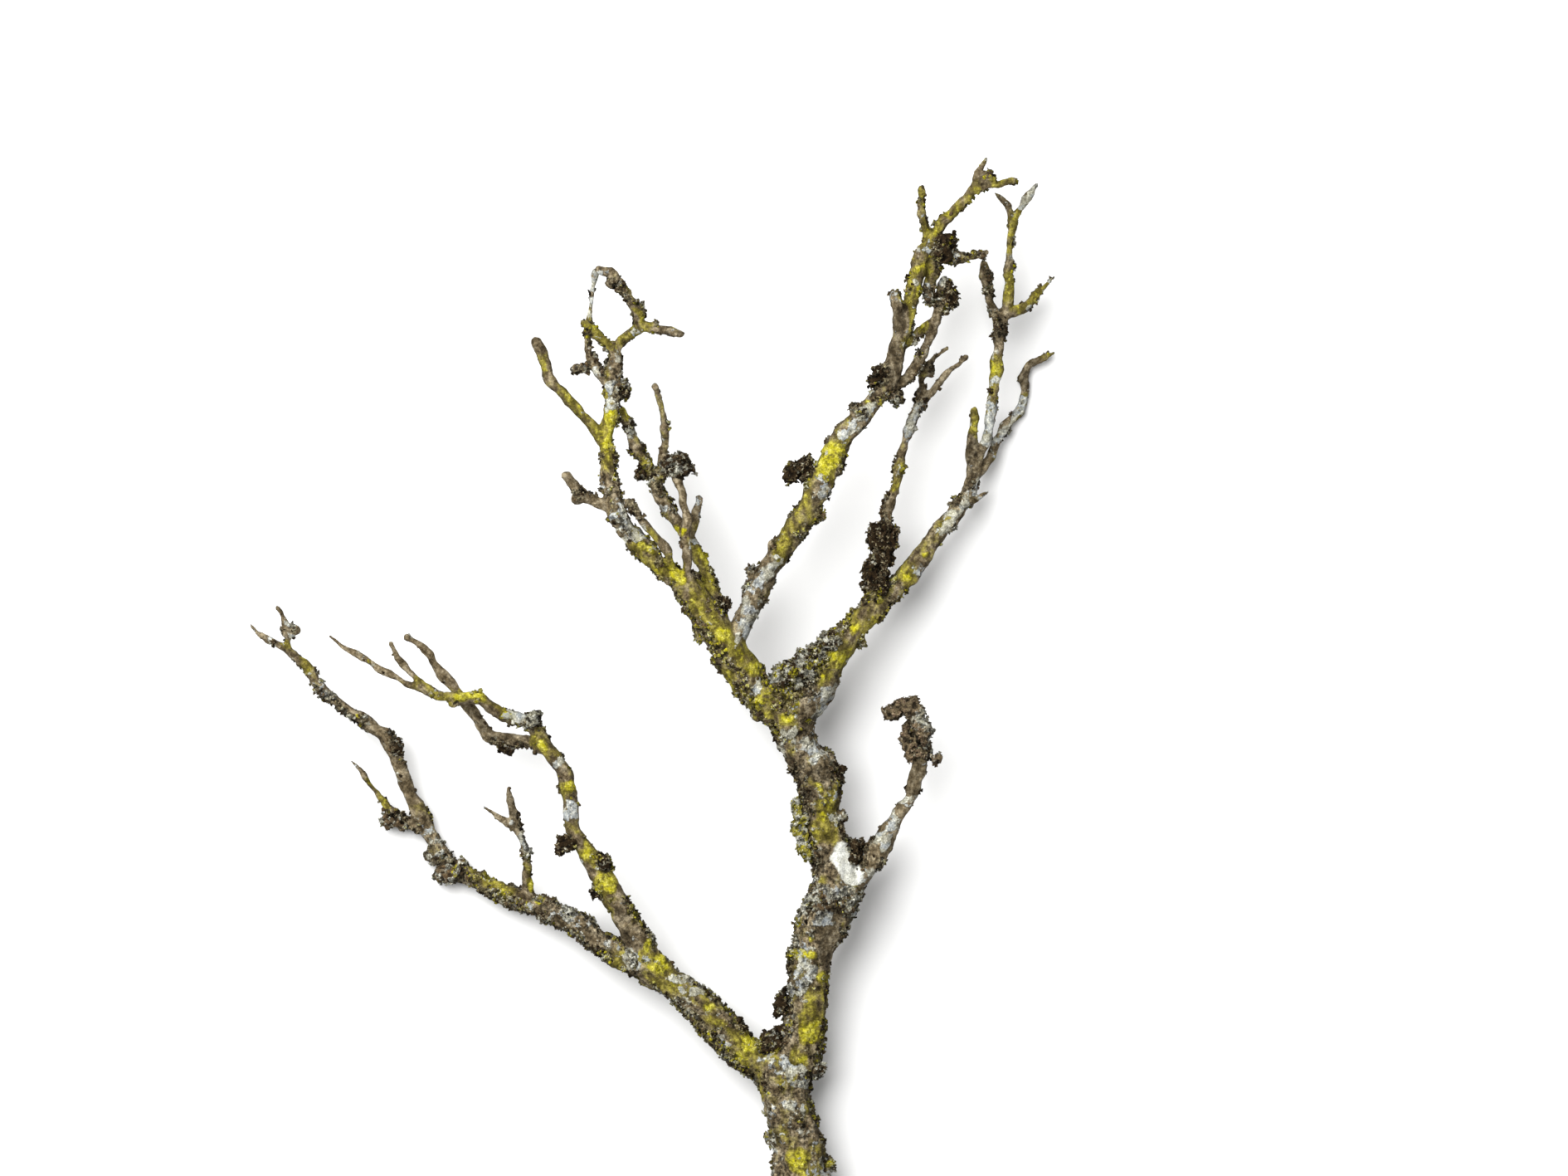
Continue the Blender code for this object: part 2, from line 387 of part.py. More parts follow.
def add_tube(bm, stations, grow):
    """A limb: one ring of vertices round each station, a flat start and a rounded or pointed end."""
    sides = side_count(stations)
    smooth = smooth_stations(stations)
    centres = [Vector(station[:3]) for station in smooth]
    last = len(smooth) - 1
    end_radius = smooth[last][3] + grow
    side = None
    rings = []
    for i, centre in enumerate(centres):
        ahead = (centres[min(i + 1, last)] - centres[max(i - 1, 0)]).normalized()
        side = ahead.orthogonal() if side is None else side - ahead * side.dot(ahead)
        side.normalize()
        rings.append(add_ring(bm, centre, side, ahead.cross(side), smooth[i][3], sides, grow))
    if end_radius > BLUNT_END:
        shoulder = centres[last] + ahead * end_radius * SHOULDER_OUT
        width = smooth[last][3] * SHOULDER_WIDTH
        rings.append(add_ring(bm, shoulder, side, ahead.cross(side), width, sides, grow))
    tip = bm.verts.new((centres[last] + ahead * end_radius * TIP_OUT) * MM)
    for ring, following in zip(rings, rings[1:]):
        for k in range(sides):
            after = (k + 1) % sides
            bm.faces.new((ring[k], ring[after], following[after], following[k]))
    for k in range(sides):
        bm.faces.new((rings[-1][k], rings[-1][(k + 1) % sides], tip))
    bm.faces.new(list(reversed(rings[0])))


def add_ring(bm, centre, side, up, radius, sides, grow):
    """A ring whose radius swells and dips the way old bark does."""
    ring = []
    for k in range(sides):
        angle = tau * k / sides
        outward = side * cos(angle) + up * sin(angle)
        swell = 1 + BARK_ROUGHNESS * noise.noise((centre + outward * radius) * BARK_SCALE)
        ring.append(bm.verts.new((centre + outward * (radius * swell + grow)) * MM))
    return ring


def add_lump(bm, centre, size, turn, seed, grow):
    """A rounded lump with a ruffled surface, stretched to its size and turned about Z."""
    detail = 1 if max(size) < SMALL_LUMP else 2
    sphere = bmesh.ops.create_icosphere(bm, subdivisions=detail, radius=1)
    turned = Matrix.Rotation(radians(turn), 3, "Z")
    for vert in sphere["verts"]:
        outward = vert.co.normalized()
        swell = 1 + RUFFLE * noise.noise(outward * RUFFLE_SCALE + Vector((seed, seed, seed)) * SEED_STEP)
        half = Vector([along * length / 2 for along, length in zip(outward, size)])
        vert.co = (Vector(centre) + turned @ (half * swell + outward * grow)) * MM


def new_object(name, build):
    """An object holding the mesh that build adds to."""
    bm = bmesh.new()
    build(bm)
    bmesh.ops.recalc_face_normals(bm, faces=bm.faces)
    bmesh.ops.triangulate(bm, faces=bm.faces)
    mesh = bpy.data.meshes.new(name)
    bm.to_mesh(mesh)
    bm.free()
    made = bpy.data.objects.new(name, mesh)
    bpy.context.collection.objects.link(made)
    return made


def combine(target, other, operation):
    """Join other to target, or cut it away, and leave other in the scene."""
    modifier = target.modifiers.new("Boolean", "BOOLEAN")
    modifier.operation = operation
    modifier.solver = "EXACT"
    modifier.object = other
    evaluated = target.evaluated_get(bpy.context.evaluated_depsgraph_get())
    mesh = bpy.data.meshes.new_from_object(evaluated)
    target.modifiers.remove(modifier)
    spare = target.data
    target.data = mesh
    bpy.data.meshes.remove(spare)


def joined_solid(name, shapes):
    """One solid from overlapping shapes, each a function that adds its mesh."""
    solid = new_object(name, shapes[0])
    for shape in shapes[1:]:
        addition = new_object("addition", shape)
        combine(solid, addition, "UNION")
        bpy.data.objects.remove(addition)
    return solid


def wood_solid(name, tubes, nubs, grow):
    """A limb with its side twigs and nubs."""
    shapes = [partial(add_tube, stations=tube, grow=grow) for tube in tubes]
    for seed, (x, y, height, radius) in enumerate(nubs):
        centre = (x, y, height)
        size = (2 * radius, 2 * radius, 2 * radius)
        shapes.append(partial(add_lump, centre=centre, size=size, turn=0, seed=seed, grow=grow))
    return joined_solid(name, shapes)


def lichen_solid(name, lumps, seed, grow):
    shapes = []
    for centre, size, turn in lumps:
        shapes.append(partial(add_lump, centre=centre, size=size, turn=turn, seed=seed, grow=grow))
    return joined_solid(name, shapes)


def box_of(thing):
    corners = [vert.co for vert in thing.data.vertices]
    low = Vector([min(corner[axis] for corner in corners) for axis in range(3)])
    high = Vector([max(corner[axis] for corner in corners) for axis in range(3)])
    return low, high


def boxes_meet(first, second):
    return all(first[0][axis] < second[1][axis] and second[0][axis] < first[1][axis] for axis in range(3))


def keep_largest_body(thing):
    """A cut can leave loose crumbs beside the piece, and they fall away."""
    bm = bmesh.new()
    bm.from_mesh(thing.data)
    bm.verts.ensure_lookup_table()
    unseen = set(bm.verts)
    bodies = []
    while unseen:
        body = {unseen.pop()}
        edge_of_search = list(body)
        while edge_of_search:
            vert = edge_of_search.pop()
            for edge in vert.link_edges:
                near = edge.other_vert(vert)
                if near in unseen:
                    unseen.remove(near)
                    body.add(near)
                    edge_of_search.append(near)
        bodies.append(body)
    bodies.sort(key=len)
    crumbs = [vert for body in bodies[:-1] for vert in body]
    bmesh.ops.delete(bm, geom=crumbs, context="VERTS")
    bm.to_mesh(thing.data)
    bm.free()


def finish(thing, colour, roughness):
    material = bpy.data.materials.new(thing.name + "_finish")
    material.use_nodes = True
    shader = material.node_tree.nodes["Principled BSDF"]
    shader.inputs["Base Color"].default_value = (*colour, 1)
    shader.inputs["Roughness"].default_value = roughness
    shader.inputs["Metallic"].default_value = 0
    thing.data.materials.clear()
    thing.data.materials.append(material)
    thing.data.shade_smooth()
    thing.data.set_sharp_from_angle(angle=SHARP_ANGLE)


def place_piece(thing, cutter, earlier):
    """Cut from a piece the room that the earlier ones take, and remember its own."""
    own_box = box_of(cutter)
    for other, other_box in earlier:
        if boxes_meet(own_box, other_box):
            combine(thing, other, "DIFFERENCE")
    keep_largest_body(thing)
    cutter.hide_render = True
    cutter.display_type = "WIRE"
    earlier.append((cutter, own_box))


def build_twig():
    clear_scene()
    earlier = []
    made = []
    for name, colour, tubes in WOOD:
        nubs = NUBS.get(name, [])
        piece = wood_solid(name, tubes, nubs, 0)
        place_piece(piece, wood_solid(name + "_room", tubes, nubs, JOINT_GAP), earlier)
        finish(piece, colour, WOOD_ROUGHNESS)
        made.append(piece)
    for seed, (name, colour, lumps) in enumerate(LICHEN):
        piece = lichen_solid(name, lumps, seed, 0)
        place_piece(piece, lichen_solid(name + "_room", lumps, seed, JOINT_GAP), earlier)
        finish(piece, colour, LICHEN_ROUGHNESS)
        made.append(piece)
    for cutter, _ in earlier:
        bpy.data.objects.remove(cutter)
    stand_on_surface(made)


def stand_on_surface(pieces):
    """Hang the pieces from an empty that centres them over the origin, the lowest point at height 0."""
    boxes = [box_of(piece) for piece in pieces]
    low = [min(box[0][axis] for box in boxes) for axis in range(3)]
    high = [max(box[1][axis] for box in boxes) for axis in range(3)]
    twig = bpy.data.objects.new("twig", None)
    bpy.context.collection.objects.link(twig)
    twig.location = (-(low[0] + high[0]) / 2, -(low[1] + high[1]) / 2, -low[2])
    for piece in pieces:
        piece.parent = twig


build_twig()
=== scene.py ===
"""The finish of a lichened twig that lies on a pale surface, seen from above.

The frame holds the bare wood and the lumps of lichen. Here the wood gets one unbroken, crusted bark, each
lump becomes a tuft of ruffled lobes, and crumbs of lichen grow along the branches. Places and sizes are in
millimetres, unless a comment says otherwise.
"""
import math

import bpy
import numpy as np
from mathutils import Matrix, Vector, noise
from mathutils.bvhtree import BVHTree


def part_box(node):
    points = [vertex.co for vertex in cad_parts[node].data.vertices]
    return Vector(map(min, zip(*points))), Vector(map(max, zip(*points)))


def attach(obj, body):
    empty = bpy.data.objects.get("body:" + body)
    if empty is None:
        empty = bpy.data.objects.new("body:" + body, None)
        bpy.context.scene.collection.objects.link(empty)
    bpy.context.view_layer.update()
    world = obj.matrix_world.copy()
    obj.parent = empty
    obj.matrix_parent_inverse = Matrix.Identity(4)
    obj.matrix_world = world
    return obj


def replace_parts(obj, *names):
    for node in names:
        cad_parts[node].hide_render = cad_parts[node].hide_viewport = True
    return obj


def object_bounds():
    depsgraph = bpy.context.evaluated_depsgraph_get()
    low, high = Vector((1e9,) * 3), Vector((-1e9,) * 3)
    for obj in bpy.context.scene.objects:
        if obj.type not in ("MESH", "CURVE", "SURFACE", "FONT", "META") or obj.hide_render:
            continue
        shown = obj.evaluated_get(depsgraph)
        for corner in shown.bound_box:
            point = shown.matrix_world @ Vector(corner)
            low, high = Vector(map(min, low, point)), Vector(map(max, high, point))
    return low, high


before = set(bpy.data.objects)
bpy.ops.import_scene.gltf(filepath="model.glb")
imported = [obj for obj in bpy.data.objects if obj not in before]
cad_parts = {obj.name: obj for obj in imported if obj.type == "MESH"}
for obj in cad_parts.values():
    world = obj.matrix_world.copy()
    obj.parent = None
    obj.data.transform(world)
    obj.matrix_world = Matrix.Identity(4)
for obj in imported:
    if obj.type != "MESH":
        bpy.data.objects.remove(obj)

MM = 0.001
CAD_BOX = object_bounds()

# The picture: its width in pixels, what a pixel covers at the twig, the point of the floor at its middle, how
# high the camera hangs, the height in the wood at which the scale holds, the width of the camera's sensor, and
# how far it sees.
PICTURE_WIDTH = 1890
MM_PER_PIXEL = 0.26
PICTURE_MIDDLE = (41.3, 60.3)
CAMERA_HEIGHT = 6000
WOOD_HEIGHT = 25
SENSOR_WIDTH = 36
VIEW_LIMIT = 100000

# The floor, and the light: a strength all round, and a round lamp's power in watts, width and place.
FLOOR_WIDTH = 12000
FLOOR_DEPTH = 0.05
DAYLIGHT = 0.41
LAMP_POWER = 72
LAMP_WIDTH = 2000
LAMP_PLACE = (-700, 800, 1600)

# The meshes: how far the wood swells to close its joints, how fine the skins are, how often they are rounded
# off, and how far most lumps shrink to make room for their lobes.
GAP_FILL = 0.3
BARK_GRAIN = 0.52
BARK_ROUNDING = 5
LUMP_GRAIN = 0.6
LUMP_ROUNDING = 2
TUFT_SLIMMING = 0.9

# The relief: the size of each kind of lump, and about how far it moves the skin.
BEND_SIZE, BEND = 9, 1.6
SWELL_SIZE, SWELL = 6, 0.5
CRUST_SIZE, CRUST = 2.4, 0.38
RIDGE_SIZE, RIDGE = 1.8, 0.8
TUFT_FORM_SIZE, TUFT_FORM = 4.5, 2.0
TUFT_RIDGE_SIZE, TUFT_RIDGE = 2.2, 0.7

# How lichen spreads: the size of its clumps, the length of stretches with more or less of it, how far
# patches wander from round, up to which shares of its radius a patch is full and goes on, how far crumbs
# stand round a tuft, and the share of crumbs that stand anywhere.
CLUMP_SIZE = 4.2
STRETCH_SIZE = 16
WANDER_SIZE, WANDER = 5, 2.6
PATCH_CORE, PATCH_REACH = 0.5, 1.5
TUFT_FRINGE = 2.2
STRAY_CRUMBS = 0.025

# How evenly values are spread over the skin, in rounds from vertex to vertex, and how many steps of weight a
# vertex group has.
LOOK_BLUR = 12
SIDE_SHADE_BLUR = 4
GROUP_STEPS = 20


class Look:
    """What a stretch of wood carries, each from 0 to 1: yellow film, pale crust and lichen crumbs."""

    def __init__(self, yellow, pale, crumbs):
        self.yellow = yellow
        self.pale = pale
        self.crumbs = crumbs


LOOKS = {
    "trunk": Look(0.40, 0.35, 0.60),
    "main_stem": Look(0.35, 0.40, 0.60),
    "side_spur": Look(0.10, 0.30, 0.35),
    "left_limb": Look(0.50, 0.50, 0.55),
    "left_low_branch": Look(0.35, 0.42, 0.52),
    "left_low_end_twig": Look(0.15, 0.30, 0.35),
    "left_low_side_twig": Look(0.15, 0.20, 0.30),
    "left_low_upright_twig": Look(0.10, 0.30, 0.35),
    "left_high_branch": Look(0.35, 0.30, 0.40),
    "left_high_end_twig": Look(0.20, 0.15, 0.05),
    "left_high_rear_twig": Look(0.05, 0.20, 0.20),
    "upper_left_limb": Look(0.42, 0.30, 0.45),
    "tall_branch": Look(0.30, 0.35, 0.50),
    "tall_branch_crown": Look(0.30, 0.25, 0.45),
    "yellow_twig": Look(0.50, 0.10, 0.05),
    "thin_rear_twig": Look(0.05, 0.30, 0.30),
    "short_left_twig": Look(0.05, 0.10, 0.35),
    "front_twig": Look(0.10, 0.15, 0.35),
    "slanting_twig": Look(0.05, 0.15, 0.25),
    "rear_branch": Look(0.35, 0.30, 0.45),
    "middle_branch": Look(0.30, 0.40, 0.45),
    "middle_branch_crown": Look(0.40, 0.35, 0.50),
    "top_twig": Look(0.40, 0.25, 0.35),
    "middle_side_twig": Look(0.15, 0.20, 0.40),
    "right_limb": Look(0.35, 0.35, 0.45),
    "lichened_twig": Look(0.20, 0.20, 0.40),
    "right_upper_twig": Look(0.38, 0.40, 0.40),
    "right_low_twig": Look(0.30, 0.40, 0.25),
}

# How full the yellow film and the pale patches are, how far film thins the pale crust, and how far brown
# wood thins both.
FILM_LEVEL = 0.56
CRUST_LEVEL = 0.85
FILM_OVER_CRUST = 0.7
BROWN_THINNING = 0.8

# Places on the side that faces up. Each is a patch, its middle and its radius, or a stretch, its two ends
# and its radius.
YELLOW_FILM = {
    "far tip": (-114, 42, -108, 34, 2), "side twig": (-88, 0, -83, -7, 2),
    "elbow": (-73, -8, -70, -12, 2.5), "low branch": (-58, -28, -46, -34, 4),
    "upright twig": (-39, -25, -39, -31, 2.5), "high branch": (-8, -40, -23, -17, 6.5),
    "high branch, knee": (-26, -5, -26, 4, 4), "high branch, over the knee": (-30, 8, -36, 15, 3.5),
    "high end twig": (-48, 24, -64, 27, 4), "high end twig, fork": (-70, 30, -73, 31, 2.5),
    "left limb": (-12, -56, 4, -60, 4.5), "left limb, foot": (20, -78, 33, -86, 6),
    "stem foot, right": (53, -60, 50, -86, 5.5), "stem, middle": (54, -6, 56, -18, 4),
    "stem, top": (46, 7, 46, 5, 1.5), "upper fork": (30, 38, 42, 17, 6), "limb": (33, 34, 16, 50, 7),
    "limb, high": (14, 58, -3, 74, 5), "tall branch": (-12, 98, -14, 119, 3.5),
    "yellow twig": (-17, 110, -30, 124, 4), "crown, left prong": (-12, 138, -21, 145, 3.5),
    "crown, right prong": (-11, 137, -3, 143, 3.5), "rear branch": (19, 62, 13, 76, 4),
    "rear branch, knee": (3, 96, -3, 101, 2.5), "middle branch, low": (42, 74, 52, 88, 5),
    "middle branch": (50, 90, 59, 106, 5), "middle crown, left": (83, 150, 84, 166, 3.5),
    "middle crown, foot": (80, 138, 81, 154, 2.5), "middle crown, cross": (82, 143, 86, 142, 3),
    "top twig": (90, 172, 102, 187, 3.5), "top twig, tip": (110, 188, 113, 189, 2),
    "left prong": (85, 185, 87, 172, 2.5), "right limb, low": (55, 36, 68, 52, 5.5),
    "right limb": (68, 52, 86, 72, 5), "right, stub": (101, 108, 102, 117, 3),
    "right, side tip": (115, 149, 125, 158, 2.5), "right upper twig": (108, 120, 108, 134, 3),
    "right, top": (112, 152, 113, 176, 3), "lichened twig": (77, 92, 78, 104, 2.5),
    "right low twig": (120, 131, 126, 134, 2),
}
YELLOW_PATCHES = {
    "trunk, low": (45.7, -119, 4), "trunk, low right": (56, -120, 2), "lower fork, left": (30, -83, 3.4),
    "lower fork, left low": (27, -86, 2), "lower fork, right": (49.6, -79, 4),
    "lower fork, foot": (47, -87, 2), "lower fork, edge": (55, -74, 1.8), "stem foot": (53, -61, 2.4),
    "stem foot, top": (43.5, -54.5, 50, -54.5, 2.3), "stem, low left": (49, -49, 1.5),
    "stem, left edge": (45, -7.4, 2.2), "stem, left rim": (47.8, -12, 1.6),
    "stem, left low": (49.6, -19.6, 1.6), "collar, left": (46.5, -44, 1.4), "stem, middle": (54, -11, 2.6),
    "stem, top": (52.2, -1.5, 1.6), "left limb, near": (18.4, -71.4, 1.9), "left limb, far": (2, -58, 3),
    "left limb, fork": (-1, -51, 2), "high branch, low": (-14, -32, 3.6),
    "high branch, upper": (-20, -22, 3.4), "high branch, knee": (-25.8, -1, 3),
    "high branch, bend": (-33, 11, 1.8), "high end twig": (-54, 27.5, -60, 27, 2.6),
    "high end twig, low": (-46, 20, 1.6), "low branch": (-51, -30.5, 2.5),
    "low branch, near": (-38, -32, 2), "low side": (-35, -37.5, 1.4), "upper fork, limb": (31.5, 35, 3.8),
    "upper fork, edge": (33.5, 25.5, 2.6), "upper fork, left": (37, 28, 1.6),
    "upper fork, low": (41, 19.5, 3.2), "upper fork, right": (48, 18, 1.7),
    "upper fork, middle": (45.2, 23.5, 1.5), "upper fork, face": (43, 27.2, 1.2),
    "upper fork, high": (53.5, 34, 1.4), "upper left limb": (22.3, 45, 3.4), "limb, high": (8, 65, 3.4),
    "limb, knee": (-2, 73, 2.4), "rear branch": (17, 70, 2.6), "rear branch, foot": (8.5, 77.5, 1.4),
    "rear branch, knee": (0, 100, 1.6), "tall branch, edge": (-13.8, 108, -13, 116, 1.5),
    "tall branch": (-12.8, 106, 2.2), "tall branch, high": (-8, 116, 2.1),
    "crown, left prong": (-17, 142, 2.4), "crown": (-3.5, 145, 2.2),
    "middle branch": (52, 96, 57, 104, 2.8), "middle branch, peeled": (68, 118, 1.2),
    "middle crown": (83.5, 160, 2), "middle crown, low": (84, 153, 1.5), "cross twig": (84, 142, 1.8),
    "top twig": (92.5, 177, 2), "right limb, low": (58, 39, 3), "right limb": (63, 47, 2.4),
    "right limb, lump": (61, 49.5, 1.5), "right limb, middle": (70, 57, 1.6),
    "right limb, fork": (79, 64, 2.6), "right limb, high": (85, 71.5, 1.5),
    "right upper twig": (108, 130, 2.6), "lichened twig": (78, 98, 1.5),
}
PALE_PATCHES = {
    "trunk": (43, -90.6, 5), "trunk, right": (48.3, -96, 1.6), "left limb, edge": (22, -88, 2.4),
    "left limb, middle": (14, -67.5, 3), "left limb": (9.5, -62.5, 2.8), "left limb, fork": (-6, -56, 2.6),
    "stem foot": (48, -59, 46, -66, 3.6), "stem foot, left": (44, -50, 45, -42, 2),
    "below the collar": (53.5, -43, 3.4), "spur, low": (73, -21, 75, -12, 2.6),
    "spur, middle": (78, -6, 1.8), "spur crotch": (69, -28.7, 2.4), "spur head": (83, 17.5, 88, 21.5, 3),
    "spur head, low": (88.5, 15, 89, 10, 2.6), "stem, square": (49.3, 10.5, 50.8, 7, 3.3),
    "stem, right": (58, -12, 2.5), "collar, left": (48, -36, 44, -48, 2), "collar": (54, -35, 64, -36, 2),
    "upper fork, right": (54.5, 28, 52, 21, 3.3), "upper fork, foot": (43, 15, 1.6),
    "upper fork, limb": (33, 29.5, 2), "upper fork, far left": (39, 31, 1.6),
    "middle branch, foot": (29, 46, 31, 54, 3), "middle branch, low": (33, 60, 37, 66, 2.6),
    "middle branch, low end": (40, 70, 1.6), "middle branch": (55, 90, 2.2),
    "middle branch, high": (61, 108.5, 69, 117, 2.1), "cross twig": (82, 137, 2.4),
    "middle crown": (82.5, 155, 1.4), "limb, over the knee": (-4, 77, -9, 83, 2.8),
    "tall branch": (-13, 118, -12.5, 124, 1.9), "rear branch": (13.5, 74.5, 2.4),
    "thin twig": (-17, 158, -19, 147, 2.2), "right limb, fork": (84, 66.5, 2.4),
    "right limb, high": (93, 80, 103, 93, 2.2), "right limb, top": (104, 106, 107, 119, 2),
    "right low twig": (108, 107, 118, 119, 2.2), "right upper twig": (108, 124.5, 2),
    "right, tip": (116, 181, 121, 187, 2), "lichened twig": (80, 109, 84, 117, 2),
    "high branch": (-25, -9.5, 3), "high branch, bend": (-29, 6, 2.2),
    "high end twig": (-37, 20.5, -45, 20.5, 2.4), "low branch, middle": (-25.5, -41, 4),
    "low branch, stub": (-25.5, -37, 2), "low branch, far": (-67, -20, 2.6),
    "upright twig": (-41, -18, -39, -24, 2), "far twig": (-101, 26, 1.6),
}
WHITE_PATCHES = {"stem, oval": (59.5, -23.5, 62.5, -29.5, 3.7)}

# Where the wood is brown and darker, with little film or crust.
BROWN_PLACES = {
    "below the collar": (55, -38, 55, -50, 4), "stem, low right": (56, -52, 55, -57, 2.5),
    "stem, left gap": (49.5, -4, 50.3, -10, 1.4), "stem, beside the oval": (53, -23, 52.3, -28, 2),
    "spur, foot": (66.5, -30.5, 1.8), "spur, neck": (81.5, 6, 80.5, -2, 3),
    "stem, top left": (44, 6, 46.4, 0, 2), "stem, top": (52, 3, 2.6), "fork, foot": (48, 15.5, 1.6),
    "middle branch, edge": (60.5, 101, 57.5, 92, 1.8), "middle branch, high": (75.5, 134, 74.3, 124, 3),
    "middle crown, stub": (77.3, 147, 76.7, 136, 2.4), "side twig": (84, 121, 89, 131, 2),
    "right, knot": (109.5, 143.5, 108.5, 138.5, 3), "right limb, high": (100, 104, 98.5, 92, 2.8),
    "right, stub": (105.4, 159, 107, 152, 2), "right low twig": (119.4, 132, 117.6, 124, 2),
    "rear twig": (-60, 26, -49.5, 14.5, 2.5), "rear twig, low": (-49.5, 14.5, -39, 14.5, 2),
    "upright twig": (-44.4, -3, -43, -13.5, 2), "low branch, near": (-19, -48, 2.6),
    "left fork": (-9, -47.5, -6.5, -53, 1.5), "high branch, foot": (-10, -41.5, 2.6),
    "low branch, middle": (-34, -40.5, 2.6), "low branch, far": (-61, -29, 2.6),
    "lichened twig": (70, 64, 72, 86, 3), "upper limb, edge": (34, 20.5, 31.5, 24, 1.4),
}

# Where crumbs stand thick along an edge, and where the wood is bare and smooth.
CRUMB_PLACES = {
    "left limb, lower edge": (30, -92, 8, -70, 2), "left limb, upper edge": (30, -78, 3, -50, 1.6),
    "low branch, lower": (-50, -36, -14, -56, 3), "low branch, upper": (-36, -36, -16, -44, 1.6),
    "low branch, far": (-66, -26, -54, -32, 2.5), "low branch, stub": (-25, -38, 1.5),
    "high branch, foot": (2, -52, -8, -38, 2), "high branch, bend": (-30, 14, -34, 18, 1.8),
    "elbow": (-82, 14, -78, 8, 2.5), "far twig": (-106, 29, -92, 18, 1.6), "far tip": (-112, 48, 1.5),
    "far tip, low": (-119, 43, 1.2), "upright twig": (-38, -20, -38, -25, 1.4),
    "side twig": (-84, -10, -76, -16, 2), "rear twig": (-52, 11, -38, 10, 2),
    "end twig": (-61.7, 24.6, 1.5), "crown, arch": (-13, 156, -6, 150, 2),
    "crown, arch end": (-3, 150, -1, 146, 2), "crown, right twig": (1, 143, 1.8),
    "crown, below": (-3, 139, 1.2), "crown, foot": (-8, 134, 1.8),
    "thin rear twig": (-20, 140, -16, 128, 1.8), "thin twig, end": (-23, 129, 2),
    "tall branch, right": (-8, 126, -9, 120, 2), "tall branch, dark": (-10.5, 113, -11, 104, 1.6),
    "tall branch, left": (-14, 90, 1.5), "tall branch, foot": (-9, 97, -9, 92, 1.6),
    "short twig": (-22, 89, 1.5), "limb, over the knee": (-6, 76, -10, 82, 1.6),
    "slanting twig": (-7, 88, -3, 83, 1.8), "rear branch, knee": (-4, 97, 2, 94, 2),
    "rear branch": (3, 92, 8, 84, 1.6), "front twig": (6, 111, 1.4),
    "upper limb, left": (9, 56, 20, 42, 1.4), "upper limb, low": (21, 41, 33, 24, 1.6),
    "limb, flakes": (24, 56, 2), "upper fork, left": (33, 22, 41, 14, 1.5),
    "upper fork, face": (42, 26, 50, 34, 5.5), "upper fork, foot": (47, 19, 2),
    "right limb, lower": (51, 42, 60, 50, 2.2), "right limb, nub": (66, 43, 1.4),
    "right limb, lump": (64, 54, 1.6), "right limb, end": (79, 59, 1.4),
    "lichened twig, left": (69, 65, 3.4), "lichened twig, foot": (66, 57, 2),
    "lichened twig": (72, 85, 1.6), "middle branch, left": (37, 75, 1.8),
    "middle branch, knob": (32, 66, 1.8), "middle branch, right": (46, 76, 55, 84, 2),
    "middle branch, upper right": (59, 97, 58, 102, 1.5), "middle, flake": (62, 118, 66, 114, 1.8),
    "middle, dark": (72, 119, 78, 120, 2.6), "middle, left": (73, 136, 1.4),
    "middle, upper": (72, 128, 1.8), "middle, top": (79.8, 152, 1.6), "cross twig": (83, 134, 82, 138, 1.6),
    "cross twig, knot": (88, 129, 2.4), "dark flakes": (93, 153, 2.5),
    "side twig, low": (83, 120, 89, 119, 1.4), "side twig, end": (97, 134, 1.2),
    "top, knot": (106, 190, 2.6), "top, left": (84, 182, 1), "top, twig": (98, 165, 104, 165, 1.3),
    "right, knot": (107, 146, 111, 140, 2), "right, nub": (117, 146, 1.4),
    "right, upper nub": (104, 152.5, 1.2), "right, stub": (105, 160, 106, 153, 1.4),
    "right, bump": (105, 122, 1.6), "right, low": (97, 98, 1.6), "right limb, high": (92, 85, 100, 92, 1.2),
    "right low twig": (118, 119, 1), "stem, right": (60.5, -11, 2), "stem, right rim": (60, 4, 60, -6, 2),
    "stem, below": (64, -41.2, 2), "collar": (49, -35, 64, -37, 3), "stem, left": (46, -5, 50, -24, 2.6),
    "stem, low left": (45, -40, 44, -55, 2), "stem, low right": (60, -48, 1.2),
    "fork, left": (34, -83, 44, -76, 3), "stalks": (40.5, -70, 3), "spur": (72.5, -11, 1.4),
    "spur, nub": (80, -11, 1), "spur crotch": (72, -27, 2), "trunk, low left": (38, -111, 2),
    "trunk, low right": (57, -120, 2),
}
BARE_PLACES = {
    "high end twig": (-73, 31, -101, 46, 3), "high end twig, prong": (-75, 34, -83, 45, 3),
    "rear twig": (-56, 22, -76, 47, 3.5), "rear twig, top": (-50, 15.5, -38, 15.5, 1.6),
    "end twig": (-83, 10, -76, -6, 3), "high branch": (-11, -36, -24, -16, 4),
    "limb": (31, 40, 24, 50, 3.5), "yellow twig": (-17, 110, -31, 125, 3),
    "thin twig": (-17, 158, -19, 147, 2.5), "front twig": (12, 70, 11, 92, 2.5),
    "slanting twig": (8, 71, -1, 80, 2), "middle branch": (61, 108.5, 69, 117, 2.5),
    "middle, brown": (75, 126, 77, 148, 2.5), "side twig": (86, 121, 96, 132, 1.5),
    "right limb": (60, 38, 68, 50, 3), "stem, brown": (56, -44, 57, -56, 3), "spur": (80, -10, 83, 4, 2),
    "top, tip": (103, 190, 105, 196, 2), "top twig": (94, 180, 102, 187, 2),
}

